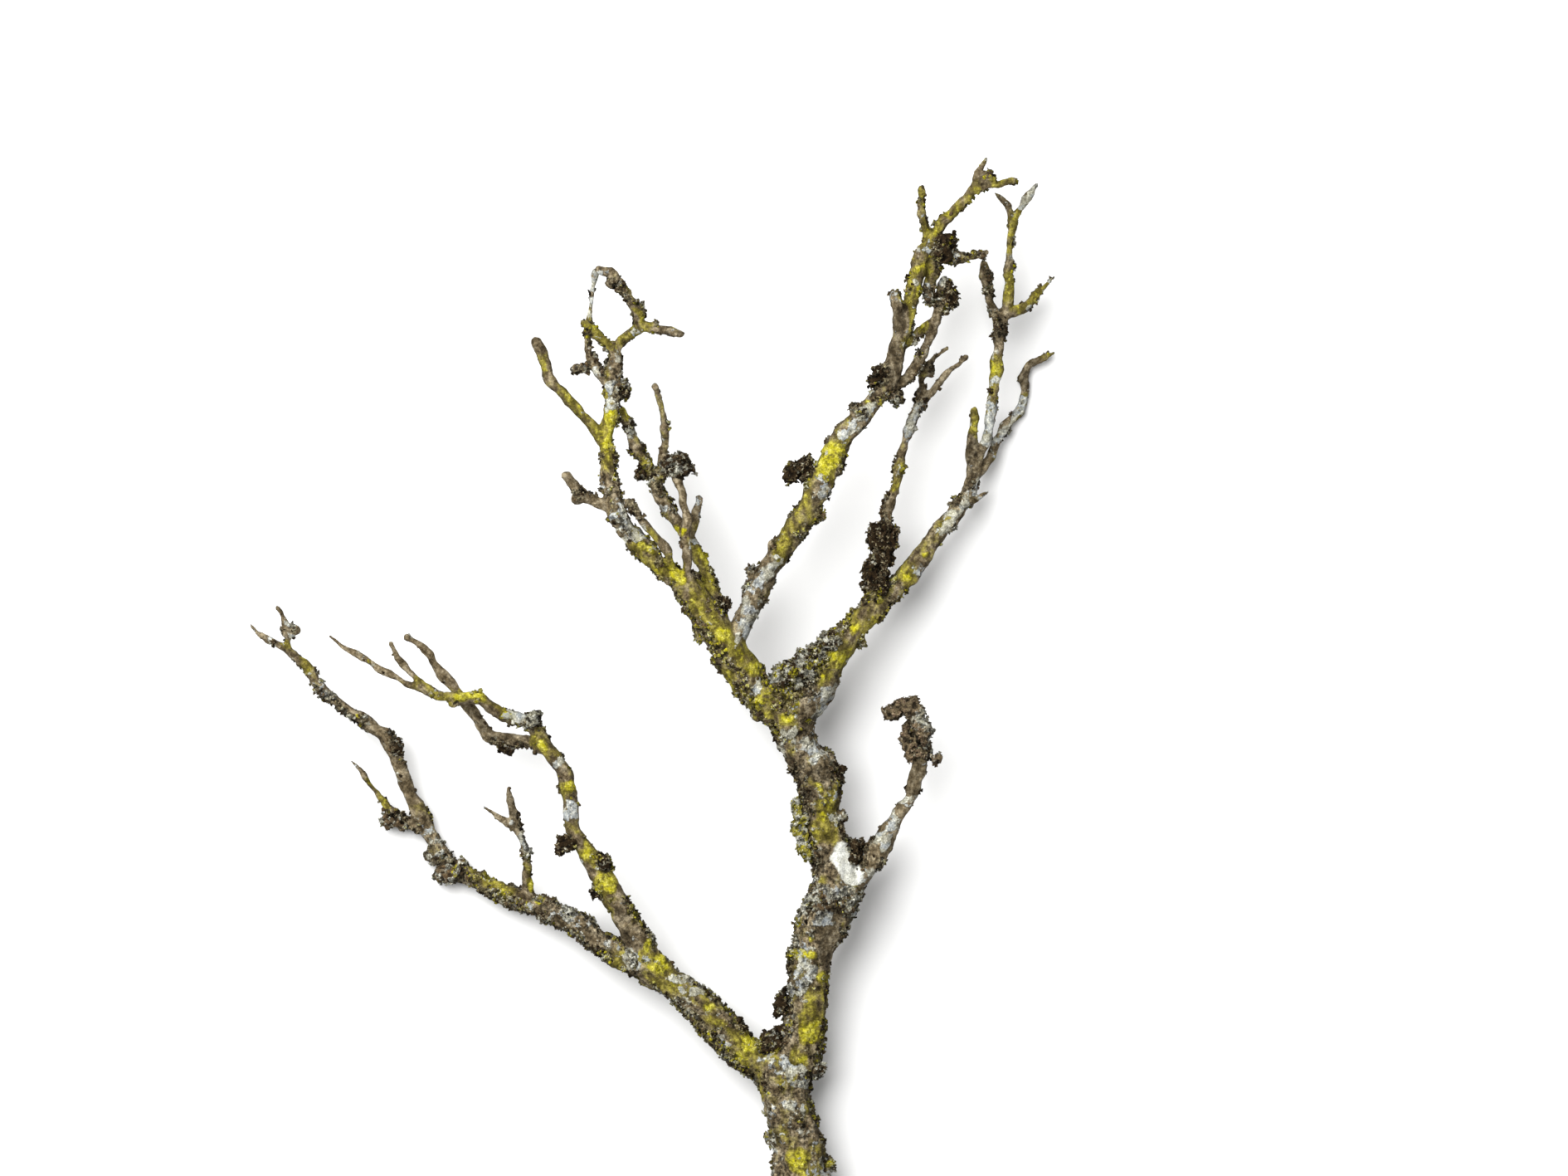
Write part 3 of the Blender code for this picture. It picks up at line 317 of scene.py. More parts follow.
WOOD = {
    "trunk_bark": ["trunk"],
    "stem_bark": ["main_stem", "side_spur"],
    "left_branches_bark": [
        "left_limb", "left_low_branch", "left_low_end_twig", "left_low_side_twig",
        "left_low_upright_twig", "left_high_branch", "left_high_end_twig", "left_high_rear_twig",
    ],
    "upper_left_branches_bark": [
        "upper_left_limb", "tall_branch", "tall_branch_crown", "yellow_twig", "thin_rear_twig",
        "short_left_twig", "front_twig", "slanting_twig", "rear_branch",
        "middle_branch", "middle_branch_crown", "top_twig", "middle_side_twig",
    ],
    "right_branches_bark": ["right_limb", "lichened_twig", "right_upper_twig", "right_low_twig"],
}

# The trunk's sawn end: its middle and the way it faces, how near its plane counts as on it, the length near
# it without crumbs, how much longer the trunk is before it is sawn, and the spacing of its year rings.
TRUNK_END = (Vector((45.8, -194.5, 9)) * MM, Vector((-0.054, -0.997, -0.052)))
END_SLACK = 0.2
END_FADE = 1.5
SAW_ALLOWANCE = 1.5
RING_SPACING = 0.8

# Two straight cuts part the bark: across the left limb and the stem's foot, then above the upper fork. A
# part with fewer vertices than SCRAP_VERTICES is a scrap of a cut.
FOOT_CUT = (Vector((30, -83, 0)) * MM, Vector((-0.75, 0.66, 0)))
FORK_CUT = (Vector((0, 35, 0)) * MM, Vector((0, 1, 0)))
SCRAP_VERTICES = 500


# ---------------------------------------------------------------- modelling

def deselect():
    bpy.ops.object.select_all(action="DESELECT")


def select_only(piece):
    deselect()
    piece.select_set(True)
    bpy.context.view_layer.objects.active = piece


def copied(piece, name):
    copy = bpy.data.objects.new(name, piece.data.copy())
    bpy.context.scene.collection.objects.link(copy)
    return copy


def merged_copy(node, name):
    """A loose copy of a node of the frame, its triangles merged into one closed skin."""
    piece = copied(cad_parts[node], name)
    piece.data.materials.clear()
    select_only(piece)
    bpy.ops.object.mode_set(mode="EDIT")
    bpy.ops.mesh.select_all(action="SELECT")
    bpy.ops.mesh.remove_doubles(threshold=0.001 * MM)
    bpy.ops.object.mode_set(mode="OBJECT")
    return piece


def select_vertices(piece, chosen):
    """Goes into edit mode with the chosen vertices selected, and nothing else."""
    select_only(piece)
    bpy.ops.object.mode_set(mode="EDIT")
    bpy.ops.mesh.select_mode(type="VERT")
    bpy.ops.mesh.select_all(action="DESELECT")
    bpy.ops.object.mode_set(mode="OBJECT")
    for vertex in piece.data.vertices:
        vertex.select = chosen(vertex)
    bpy.ops.object.mode_set(mode="EDIT")


def joined(pieces, name):
    deselect()
    for piece in pieces:
        piece.select_set(True)
    bpy.context.view_layer.objects.active = pieces[0]
    bpy.ops.object.join()
    pieces[0].name = name
    return pieces[0]


def modify(piece, kind, **settings):
    """Adds a modifier, sets it and applies it."""
    select_only(piece)
    modifier = piece.modifiers.new(kind.lower(), kind)
    for setting, value in settings.items():
        setattr(modifier, setting, value)
    bpy.ops.object.modifier_apply(modifier=modifier.name)


def grow(piece, distance):
    modify(piece, "DISPLACE", strength=distance * MM, mid_level=0)


def voxel_skin(piece, grain, rounding):
    """One closed skin round all that the piece holds, with its facets rounded off."""
    modify(piece, "REMESH", mode="VOXEL", voxel_size=grain * MM, use_smooth_shade=True)
    modify(piece, "SMOOTH", factor=0.5, iterations=rounding)


def relief(piece, size, height, ridged=False, group=""):
    """Moves the skin in and out by noise, rolling or with crests, as far as the vertex group lets it."""
    texture = bpy.data.textures.new(piece.name + "_relief", "MUSGRAVE")
    texture.musgrave_type = "RIDGED_MULTIFRACTAL" if ridged else "FBM"
    texture.noise_scale = size * MM
    texture.octaves = 3
    modify(piece, "DISPLACE", texture=texture, strength=height * MM, mid_level=0.6 if ridged else 0,
           vertex_group=group)


def bend_softly(piece):
    """Bends all pieces alike, so that straight stretches wander a little."""
    texture = bpy.data.textures.new("bend", "CLOUDS")
    texture.noise_scale = BEND_SIZE * MM
    texture.noise_depth = 1
    texture.cloud_type = "COLOR"
    modify(piece, "DISPLACE", texture=texture, strength=BEND * MM, direction="RGB_TO_XYZ")


def places(piece):
    """The places and normals of a piece's vertices, in mm."""
    count = len(piece.data.vertices)
    found = np.zeros(count * 3)
    piece.data.vertices.foreach_get("co", found)
    normals = np.zeros(count * 3)
    piece.data.vertices.foreach_get("normal", normals)
    return found.reshape(-1, 3) / MM, normals.reshape(-1, 3)


def put_attribute(piece, name, values, domain="POINT"):
    attribute = piece.data.attributes.new(name, "FLOAT", domain)
    attribute.data.foreach_set("value", np.clip(values, 0, 1).astype(np.float32))


def get_attribute(piece, name):
    values = np.zeros(len(piece.data.vertices), np.float32)
    piece.data.attributes[name].data.foreach_get("value", values)
    return values


def put_group(piece, name, values):
    """A vertex group from one value a vertex, in a few steps of weight."""
    group = piece.vertex_groups.new(name=name)
    rounded = np.round(np.clip(values, 0, 1) * GROUP_STEPS).astype(int)
    for step in range(1, GROUP_STEPS + 1):
        group.add(np.flatnonzero(rounded == step).tolist(), step / GROUP_STEPS, "REPLACE")


def keep_in_box(piece):
    """Presses what would reach past the frame's box back onto it."""
    low, high = CAD_BOX
    for vertex in piece.data.vertices:
        for axis in range(3):
            vertex.co[axis] = min(max(vertex.co[axis], low[axis]), high[axis])


def blurred(piece, values, rounds):
    """The values, each spread evenly over its neighbours a number of times."""
    edges = np.zeros(len(piece.data.edges) * 2, int)
    piece.data.edges.foreach_get("vertices", edges)
    first, second = edges.reshape(-1, 2).T
    neighbours = np.bincount(edges, minlength=len(values)) + 1
    for _ in range(rounds):
        spread = values + np.bincount(first, values[second], len(values))
        spread += np.bincount(second, values[first], len(values))
        values = spread / neighbours
    return values


def hollows(piece, rounds, depth):
    """Round 0.5 for each vertex: more where it lies under the skin about it, less where it stands proud.

    depth is what makes a difference of 1, in mm.
    """
    where, normals = places(piece)
    around = np.stack([blurred(piece, where[:, axis], rounds) for axis in range(3)], axis=1)
    under = ((around - where) * normals).sum(axis=1)
    return 0.5 + (under - blurred(piece, under, 3 * rounds)) / depth


def clumps(where, size, shift=0):
    """Cloudy noise from -1 to 1 at each place, in clumps of about the size. Each shift gives other clumps."""
    offset = Vector((shift, shift, shift))
    return np.array([noise.noise(Vector(place) / size + offset) for place in where])


def wandering(where):
    """The places moved about by noise, so that a round patch measured from them comes out irregular."""
    moves = np.array([clumps(where, WANDER_SIZE, shift) for shift in (3, 7, 13)])
    return where + moves.T * WANDER


def spots(where, patches):
    """How deep each place lies in the nearest patch or stretch: 1 at its core, falling to 0 at its reach."""
    depth = np.zeros(len(where))
    for *ends, radius in patches.values():
        start, end = np.array(ends[:2]), np.array(ends[-2:])
        length = max(np.dot(end - start, end - start), 1)
        share = np.clip((where[:, :2] - start) @ (end - start) / length, 0, 1)
        away = np.linalg.norm(where[:, :2] - start - share[:, None] * (end - start), axis=1) / radius
        depth = np.maximum(depth, np.clip((PATCH_REACH - away) / (PATCH_REACH - PATCH_CORE), 0, 1))
    return depth


# ---------------------------------------------------------------- wood

def skin_of(names):
    """The skin of some of the frame's nodes, to find what is nearest, and the name of each face's node."""
    corners, faces, owners = [], [], []
    for name in names:
        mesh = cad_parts[name].data
        start = len(corners)
        corners += [vertex.co for vertex in mesh.vertices]
        faces += [[start + index for index in face.vertices] for face in mesh.polygons]
        owners += [name] * len(mesh.polygons)
    return BVHTree.FromPolygons(corners, faces), owners


def looks_at(piece, traits):
    """For each vertex of the piece, the traits of the nearest node's look."""
    skin, owners = skin_of(LOOKS)
    nearest = [owners[skin.find_nearest(vertex.co)[2]] for vertex in piece.data.vertices]
    return {trait: np.array([getattr(LOOKS[name], trait) for name in nearest]) for trait in traits}


def smooth_step(values, low, high):
    """0 below low and 1 above high, smooth between."""
    share = np.clip((values - low) / (high - low), 0, 1)
    return share * share * (3 - 2 * share)


def near_tufts(piece):
    """1 for each vertex of the piece that touches a lump of lichen, falling to 0 at the fringe."""
    skin, _ = skin_of([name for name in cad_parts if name.endswith("_lichen")])
    reach = TUFT_FRINGE * MM
    away = [skin.find_nearest(vertex.co, reach)[3] for vertex in piece.data.vertices]
    return np.array([0.0 if distance is None else 1 - distance / reach for distance in away])


def on_end(place):
    """Whether a place lies in the plane of the trunk's sawn end."""
    middle, facing = TRUNK_END
    return abs((place - middle).dot(facing)) < END_SLACK * MM


def wood_in_one():
    """All the wood in one skin, with the trunk drawn out past the place where it is sawn later."""
    copies = [merged_copy(node, node + "_copy") for nodes in WOOD.values() for node in nodes]
    select_vertices(copies[0], lambda vertex: on_end(vertex.co))
    bpy.ops.transform.translate(value=TRUNK_END[1] * SAW_ALLOWANCE * MM)
    bpy.ops.object.mode_set(mode="OBJECT")
    wood = joined(copies, "wood")
    grow(wood, GAP_FILL)
    voxel_skin(wood, BARK_GRAIN, BARK_ROUNDING)
    bend_softly(wood)
    return wood


def stain(traits, wandered, facing_up, brown):
    """Lays the yellow film over the pale crust, thins both on brown wood, and adds their patches."""
    film = spots(wandered, YELLOW_FILM) * facing_up
    traits["pale"] *= 1 - FILM_OVER_CRUST * film
    traits["yellow"] += np.maximum(FILM_LEVEL - traits["yellow"], 0) * film
    for trait in ("yellow", "pale"):
        traits[trait] *= 1 - BROWN_THINNING * brown
    traits["yellow"] = np.maximum(traits["yellow"], spots(wandered, YELLOW_PATCHES) * facing_up)
    traits["pale"] = np.maximum(traits["pale"], CRUST_LEVEL * spots(wandered, PALE_PATCHES) * facing_up)


def crumbs_along(where, likely, thick, bare):
    """Where crumbs stand: scattered in clumps where they are likely, gathered where they are thick."""
    uneven = clumps(where, CLUMP_SIZE) * 0.8 + clumps(where, STRETCH_SIZE, 9) * 0.4
    scattered = smooth_step(likely * 1.2 + uneven, 0.5, 0.85) * (1 - bare)
    gathered = smooth_step(thick * 0.9 + clumps(where, CLUMP_SIZE, 5) * 0.5, 0.45, 0.85)
    return np.maximum(np.maximum(scattered, gathered), STRAY_CRUMBS)


def clear_of_end(where):
    """0 beside the trunk's sawn end, and 1 for each place well away from it."""
    middle, facing = TRUNK_END
    away = (np.array(middle) / MM - where) @ np.array(facing)
    return np.clip(away / END_FADE - 1, 0, 1)


def growth_on(wood):
    """What each vertex of the wood carries, from 0 to 1: the looks' traits, painted shade on its sides with
    brown wood darker too, white and roughness.
    """
    where, normals = places(wood)
    upward = np.clip(normals[:, 2], 0, 1)
    facing_up = np.clip(normals[:, 2] * 2 + 0.6, 0, 1)
    looks = looks_at(wood, ("yellow", "pale", "crumbs"))
    traits = {trait: blurred(wood, values, LOOK_BLUR) for trait, values in looks.items()}
    wandered = wandering(where)
    brown = spots(wandered, BROWN_PLACES)
    bare = spots(wandered, BARE_PLACES)
    thick = np.maximum(spots(wandered, CRUMB_PLACES), near_tufts(wood))
    rough = 0.3 + 0.7 * np.maximum(smooth_step(traits["crumbs"], 0.3, 0.6), thick)
    # Painted shade: darker on the sides that face away from the top, and darker also on brown wood.
    traits["side_shade_and_brown"] = np.maximum(blurred(wood, 1 - upward, SIDE_SHADE_BLUR), 0.7 * brown)
    traits["white"] = spots((where + wandered) / 2, WHITE_PATCHES) * facing_up
    stain(traits, wandered, facing_up, brown)
    likely = traits["crumbs"] * (1 - 0.85 * upward ** 2)
    traits["crumbs"] = crumbs_along(where, likely, thick, bare) * (1 - traits["white"])
    traits["crumbs"] *= clear_of_end(where)
    traits["rough"] = rough * (1 - 0.7 * bare)
    return traits


def grow_bark():
    """The wood with its relief and its sawn end, and with what grows where kept on its vertices."""
    wood = wood_in_one()
    traits = growth_on(wood)
    for trait, values in traits.items():
        put_attribute(wood, trait, values)
    put_group(wood, "crumbs", traits["crumbs"])
    put_group(wood, "crust", traits["rough"] * (1 - traits["white"]))
    relief(wood, SWELL_SIZE, SWELL)
    relief(wood, CRUST_SIZE, CRUST, group="crust")
    relief(wood, RIDGE_SIZE, RIDGE, ridged=True, group="crumbs")
    sawn = half(wood, TRUNK_END, far_side=False, name="sawn_wood")
    bpy.data.objects.remove(wood)
    keep_in_box(sawn)
    put_attribute(sawn, "hollow", hollows(sawn, rounds=6, depth=0.5))
    facing = TRUNK_END[1]
    cut = [on_end(face.center) and face.normal.dot(facing) > 0.95 for face in sawn.data.polygons]
    put_attribute(sawn, "cut", cut, "FACE")
    return sawn


def half(piece, cut, far_side, name):
    """What lies on one side of a cut, closed where it was cut, with that face's rim kept sharp."""
    part = copied(piece, name)
    select_only(part)
    bpy.ops.object.mode_set(mode="EDIT")
    bpy.ops.mesh.select_all(action="SELECT")
    bpy.ops.mesh.bisect(plane_co=cut[0], plane_no=cut[1], use_fill=True,
                        clear_inner=far_side, clear_outer=not far_side)
    bpy.ops.mesh.mark_sharp()
    bpy.ops.object.mode_set(mode="OBJECT")
    return part


def loose_parts(piece):
    """The piece's separate parts, without the small scraps that a cut leaves."""
    select_only(piece)
    bpy.ops.mesh.separate(type="LOOSE")
    parts = list(bpy.context.selected_objects)
    scraps = [part for part in parts if len(part.data.vertices) < SCRAP_VERTICES]
    for scrap in scraps:
        bpy.data.objects.remove(scrap)
    return [part for part in parts if part not in scraps]


def part_near(parts, node):
    """The part whose skin comes nearest to the middle of a node."""
    low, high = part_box(node)
    middle = np.array((low + high) / 2 / MM)
    return min(parts, key=lambda part: np.linalg.norm(places(part)[0] - middle, axis=1).min())


def part_bark(wood):
    """The bark's five pieces, by name, each closed and meeting the next along a straight cut."""
    lower = loose_parts(half(wood, FOOT_CUT, far_side=False, name="lower_wood"))
    beyond = loose_parts(half(wood, FOOT_CUT, far_side=True, name="upper_wood"))
    stem = part_near(beyond, "main_stem")
    above = loose_parts(half(stem, FORK_CUT, far_side=True, name="crown_wood"))
    below = loose_parts(half(stem, FORK_CUT, far_side=False, name="stem_wood"))
    pieces = {
        "trunk_bark": part_near(lower, "trunk"),
        "left_branches_bark": part_near(beyond, "left_low_branch"),
        "stem_bark": part_near(below, "main_stem"),
        "upper_left_branches_bark": part_near(above, "tall_branch"),
        "right_branches_bark": part_near(above, "right_upper_twig"),
    }
    bpy.data.objects.remove(stem)
    for name, piece in pieces.items():
        piece.name = name
    return pieces


# ---------------------------------------------------------------- node trees

class Wire:
    """An output of a node. Sums on it add the tree's own Math nodes."""

    def __init__(self, tree, node, socket):
        self.tree = tree
        self.node = node
        self.socket = socket

    def output(self, name):
        return Wire(self.tree, self.node, self.node.outputs[name])

    def math(self, operation, first, second):
        return self.tree.add("ShaderNodeMath", {"operation": operation}, {0: first, 1: second})

    def __add__(self, other):
        return self.math("ADD", self, other)

    __radd__ = __add__

    def __sub__(self, other):
        return self.math("SUBTRACT", self, other)

    def __rsub__(self, other):
        return self.math("SUBTRACT", other, self)

    def __mul__(self, other):
        return self.math("MULTIPLY", self, other)

    __rmul__ = __mul__


class Tree:
    """A node tree, of a material or of geometry nodes."""

    def __init__(self, tree):
        self.tree = tree

    def add(self, kind, settings=None, inputs=None, output=None):
        """One node: its settings first, then its sockets' values or wires, by name or by number."""
        node = self.tree.nodes.new(kind)
        for name, value in (settings or {}).items():
            setattr(node, name, value)
        for key, value in (inputs or {}).items():
            named = [socket for socket in node.inputs if socket.enabled and socket.name == key]
            socket = named[0] if named else node.inputs[key]
            if isinstance(value, Wire):
                self.tree.links.new(value.socket, socket)
            else:
                socket.default_value = value
        shown = [socket for socket in node.outputs if socket.enabled]
        if not shown:
            return None
        return Wire(self, node, node.outputs[output] if output else shown[0])


# ---------------------------------------------------------------- lichen

# A lobe: the points of its rim, how far every other one is drawn in and lifted, how uneven and how thick it
# is, and for each kind its size and how far it curls over, in degrees.
LOBE_POINTS = 9
LOBE_SCALLOP = 0.7
LOBE_WAVE = 0.3
LOBE_UNEVENNESS = 0.15
LOBE_THICKNESS = 0.32
LOBE_SIZES = {"broad": (1.0, 0.85, 1), "long": (1.2, 0.7, 1), "small": (0.75, 0.65, 1)}
LOBE_CURLS = {"broad": 70, "long": 110, "small": 50}

# A crumb, and how far a lobe that lies among crumbs curls over.
CRUMB_RADIUS = 0.6
CRUMB_FORM = (1.1, 0.85, 0.7)
CRUMB_UNEVENNESS = 0.2
CRUMB_CURL = 90


def lobe(name, size, curl, seed):
    """One ruffled lobe about 2 mm across: a thin disc, its rim scalloped and waved, curled over."""
    deselect()
    bpy.ops.mesh.primitive_circle_add(vertices=LOBE_POINTS, radius=MM, fill_type="TRIFAN")
    piece = bpy.context.active_object
    piece.name = name
    put_attribute(piece, "rim", [vertex.co.xy.length / MM for vertex in piece.data.vertices])
    select_vertices(piece, lambda vertex: vertex.index % 2 == 1)
    bpy.ops.transform.resize(value=(LOBE_SCALLOP, LOBE_SCALLOP, 1), center_override=(0, 0, 0))
    bpy.ops.transform.translate(value=(0, 0, LOBE_WAVE * MM))
    bpy.ops.mesh.select_all(action="SELECT")
    bpy.ops.transform.vertex_random(offset=LOBE_UNEVENNESS * MM, uniform=0.6, seed=seed)
    bpy.ops.transform.resize(value=size)
    bpy.ops.object.mode_set(mode="OBJECT")
    modify(piece, "SIMPLE_DEFORM", deform_method="BEND", angle=math.radians(curl), deform_axis="X")
    modify(piece, "SOLIDIFY", thickness=LOBE_THICKNESS * MM, offset=0)
    bpy.ops.object.shade_smooth()
    return piece


def crumb(name, seed):
    """One knobbly crumb about 1.2 mm across."""
    deselect()
    bpy.ops.mesh.primitive_ico_sphere_add(subdivisions=1, radius=CRUMB_RADIUS * MM)
    piece = bpy.context.active_object
    piece.name = name
    put_attribute(piece, "rim", [vertex.co.z / MM for vertex in piece.data.vertices])
    bpy.ops.object.mode_set(mode="EDIT")
    bpy.ops.mesh.select_all(action="SELECT")
    bpy.ops.transform.resize(value=CRUMB_FORM)
    bpy.ops.transform.vertex_random(offset=CRUMB_UNEVENNESS * MM, uniform=0.7, seed=seed)
    bpy.ops.object.mode_set(mode="OBJECT")
    bpy.ops.object.shade_smooth()
    return piece


def shelf(name, pieces):
    """A collection outside the scene that keeps the shapes which are strewn."""
    collection = bpy.data.collections.new(name)
    for piece in pieces:
        for holder in list(piece.users_collection):
            holder.objects.unlink(piece)
        collection.objects.link(piece)
    return collection


def strewing(name, shapes, density, spacing, sizes, tilt, keep_base, seed):
    """Geometry nodes that strew the shapes over a skin, thickest where its growth is 1.

    density is the number of shapes in a square millimetre, and tilt is in radians.
    """
    group = bpy.data.node_groups.new(name, "GeometryNodeTree")
    group.interface.new_socket("Geometry", in_out="INPUT", socket_type="NodeSocketGeometry")
    group.interface.new_socket("Geometry", in_out="OUTPUT", socket_type="NodeSocketGeometry")
    tree = Tree(group)

    def random(low, high, number, kind="FLOAT"):
        return tree.add("FunctionNodeRandomValue", {"data_type": kind},
                        {"Min": low, "Max": high, "Seed": seed + number})

    skin = tree.add("NodeGroupInput")
    growth = tree.add("GeometryNodeInputNamedAttribute", {"data_type": "FLOAT"}, {"Name": "growth"})
    points = tree.add(
        "GeometryNodeDistributePointsOnFaces", {"distribute_method": "POISSON"},
        {"Mesh": skin, "Distance Min": spacing * MM, "Density Max": density / MM ** 2,
         "Density Factor": growth, "Seed": seed})
    angles = random((-tilt, -tilt, -math.pi), (tilt, tilt, math.pi), 1, "FLOAT_VECTOR")
    turn = tree.add("FunctionNodeEulerToRotation", {}, {"Euler": angles})
    rotation = tree.add(
        "FunctionNodeRotateRotation", {"rotation_space": "LOCAL"},
        {"Rotation": points.output("Rotation"), "Rotate By": turn})
    chosen = tree.add(
        "GeometryNodeCollectionInfo", {},
        {"Collection": shapes, "Separate Children": True, "Reset Children": True})
    placed = tree.add(
        "GeometryNodeInstanceOnPoints", {},
        {"Points": points, "Instance": chosen, "Pick Instance": True, "Rotation": rotation,
         "Scale": random(*sizes, 2)})
    tinted = tree.add(
        "GeometryNodeStoreNamedAttribute", {"data_type": "FLOAT", "domain": "INSTANCE"},
        {"Geometry": placed, "Name": "tint", "Value": random(0.0, 1.0, 3)})
    made = tree.add("GeometryNodeRealizeInstances", {}, {"Geometry": tinted})
    if keep_base:
        both = tree.add("GeometryNodeJoinGeometry")
        tree.tree.links.new(skin.socket, both.node.inputs[0])
        tree.tree.links.new(made.socket, both.node.inputs[0])
        made = both
    tree.add("NodeGroupOutput", {}, {"Geometry": made})
    return group


def strewn(piece, name, growth, **how):
    """A copy of the skin strewn with shapes, or the shapes alone."""
    layer = copied(piece, name)
    layer.data.materials.clear()
    put_attribute(layer, "growth", growth)
    modify(layer, "NODES", node_group=strewing(name + "_strewing", **how))
    return layer


# The lumps of lichen, by the slot of their finish.
TUFTS = {
    "dark_lichen": [
        "spur_head", "spur_crotch", "stem_right", "lower_fork", "stem_stalk", "stem_low", "upper_fork",
        "left_limb", "low_end", "high_branch_left", "high_branch_right", "high_branch_low", "high_knee",
        "high_rear", "front_twig", "rear_branch", "rear_crotch", "tall_branch", "middle_branch_left",
        "middle_branch_upper", "middle_crown", "middle_side", "lichened_twig",
    ],
    "pale_lichen": ["collar", "trunk_right", "low_branch", "low_branch_upper", "low_side", "middle_rear"],
    "yellow_lichen": ["stem_left"],
}

# How far a lump shrinks, where it isn't TUFT_SLIMMING: less under a flat cushion, more under a loose tuft.
SLIMMING = {
    "collar": 0.3, "stem_left": 0.3, "lower_fork": 0.3, "trunk_right": 0.3, "upper_fork": 0.3,
    "rear_crotch": 0.3, "high_branch_left": 0.3, "high_branch_low": 0.3, "middle_crown": 0.3,
    "middle_branch_left": 0.5, "rear_branch": 0.5, "high_knee": 0.6, "spur_head": 0.8,
    "middle_branch_upper": 1.2, "low_side": 1.4, "lichened_twig": 1.5, "low_branch": 1.6,
    "middle_rear": 1.8, "middle_side": 1.8,
}

# The tint of the form under a tuft's lobes, how deep in the bark a place must lie to grow none, and how
# yellow and how pale most tufts are, then the others.
FORM_TINT = 0.05
SUNK = 0.1
PLAIN_TUFT_LOOK = (0.15, 0.25)
TUFT_LOOKS = {
    "upper_fork": (0.66, 0.72), "stem_left": (0.65, 0.62), "collar": (0.45, 0.75), "spur_head": (0, 0.15),
    "high_branch_right": (0.5, 0.4), "low_branch": (0.4, 0.5), "trunk_right": (0.4, 0.5),
    "lower_fork": (0.3, 0.35), "middle_crown": (0.3, 0.2), "tall_branch": (0.5, 0.6),
    "front_twig": (0.1, 0.5), "middle_rear": (0.4, 0.4), "rear_branch": (0.35, 0.4),
}


def outside(piece, skin):
    """1 for each vertex of the piece that stands clear of the skin, and 0 inside it."""
    clear = []
    for vertex in piece.data.vertices:
        place, normal, _, _ = skin.find_nearest(vertex.co)
        clear.append(1.0 if (vertex.co - place).dot(normal) > -SUNK * MM else 0.0)
    return np.array(clear)


def grow_tuft(name, number, bark_skin, lobes):
    """A lump of the frame as a ragged tuft: its form, a little shrunk, under a coat of ruffled lobes."""
    lump = merged_copy(name + "_lichen", name + "_lump")
    grow(lump, -SLIMMING.get(name, TUFT_SLIMMING))
    voxel_skin(lump, LUMP_GRAIN, LUMP_ROUNDING)
    bend_softly(lump)
    relief(lump, TUFT_FORM_SIZE, TUFT_FORM)
    voxel_skin(lump, LUMP_GRAIN, LUMP_ROUNDING)
    relief(lump, TUFT_RIDGE_SIZE, TUFT_RIDGE, ridged=True)
    where, normals = places(lump)
    wandered = wandering(where)
    yellow, pale = TUFT_LOOKS.get(name, PLAIN_TUFT_LOOK)
    count = len(where)
    put_attribute(lump, "rim", np.zeros(count))
    put_attribute(lump, "tint", np.full(count, FORM_TINT))
    # Painted shade: darker on the lump's sides that face away from the top.
    put_attribute(lump, "side_shade_and_brown", 1 - np.clip(normals[:, 2], 0, 1))
    put_attribute(lump, "yellow", np.maximum(yellow, spots(wandered, YELLOW_PATCHES)))
    put_attribute(lump, "pale", np.maximum(pale, spots(wandered, PALE_PATCHES)))
    put_attribute(lump, "hollow", hollows(lump, rounds=5, depth=0.7))
    gathered = smooth_step(clumps(where, TUFT_RIDGE_SIZE, 41), -0.35, 0.15)
    tuft = strewn(
        lump, name + "_tuft", outside(lump, bark_skin) * gathered, shapes=lobes, density=1.5, spacing=0.8,
        sizes=(0.45, 1.3), tilt=1.1, keep_base=True, seed=10 * number)
    bpy.data.objects.remove(lump)
    keep_in_box(tuft)
    return tuft


def grow_crumbs(bark, name, growth, crumbs, seed):
    """Crumbs of one kind along a piece of bark."""
    layer = strewn(
        bark, name, growth, shapes=crumbs, density=1.1, spacing=0.7, sizes=(0.35, 1.45), tilt=1.2,
        keep_base=False, seed=seed)
    keep_in_box(layer)
    return layer


# ---------------------------------------------------------------- finishes

# Colours, as linear red, green and blue, then the little sheen that all finishes have.
UMBER = (0.050, 0.036, 0.018)
BROWN = (0.135, 0.103, 0.058)
TAN = (0.330, 0.275, 0.180)
OLIVE = (0.095, 0.078, 0.010)
MOSS = (0.225, 0.192, 0.022)
YELLOW = (0.430, 0.385, 0.012)
PALE_YELLOW = (0.530, 0.495, 0.120)
GREY = (0.310, 0.300, 0.225)
BLUE_GREY = (0.350, 0.390, 0.420)
PALE_GREY = (0.540, 0.535, 0.460)
WHITE = (0.660, 0.665, 0.610)
SOOT = (0.022, 0.013, 0.005)
LICHEN_BROWN = (0.110, 0.074, 0.038)
LICHEN_GREY = (0.310, 0.275, 0.170)
SPUR_BROWN = (0.220, 0.145, 0.090)
SAWN_WOOD = (0.420, 0.310, 0.180)
SAWN_RING = (0.240, 0.155, 0.080)
PAPER = (0.900, 0.900, 0.890)
PAPER_LIGHT = (0.920, 0.920, 0.915)
SHEEN = 0.1


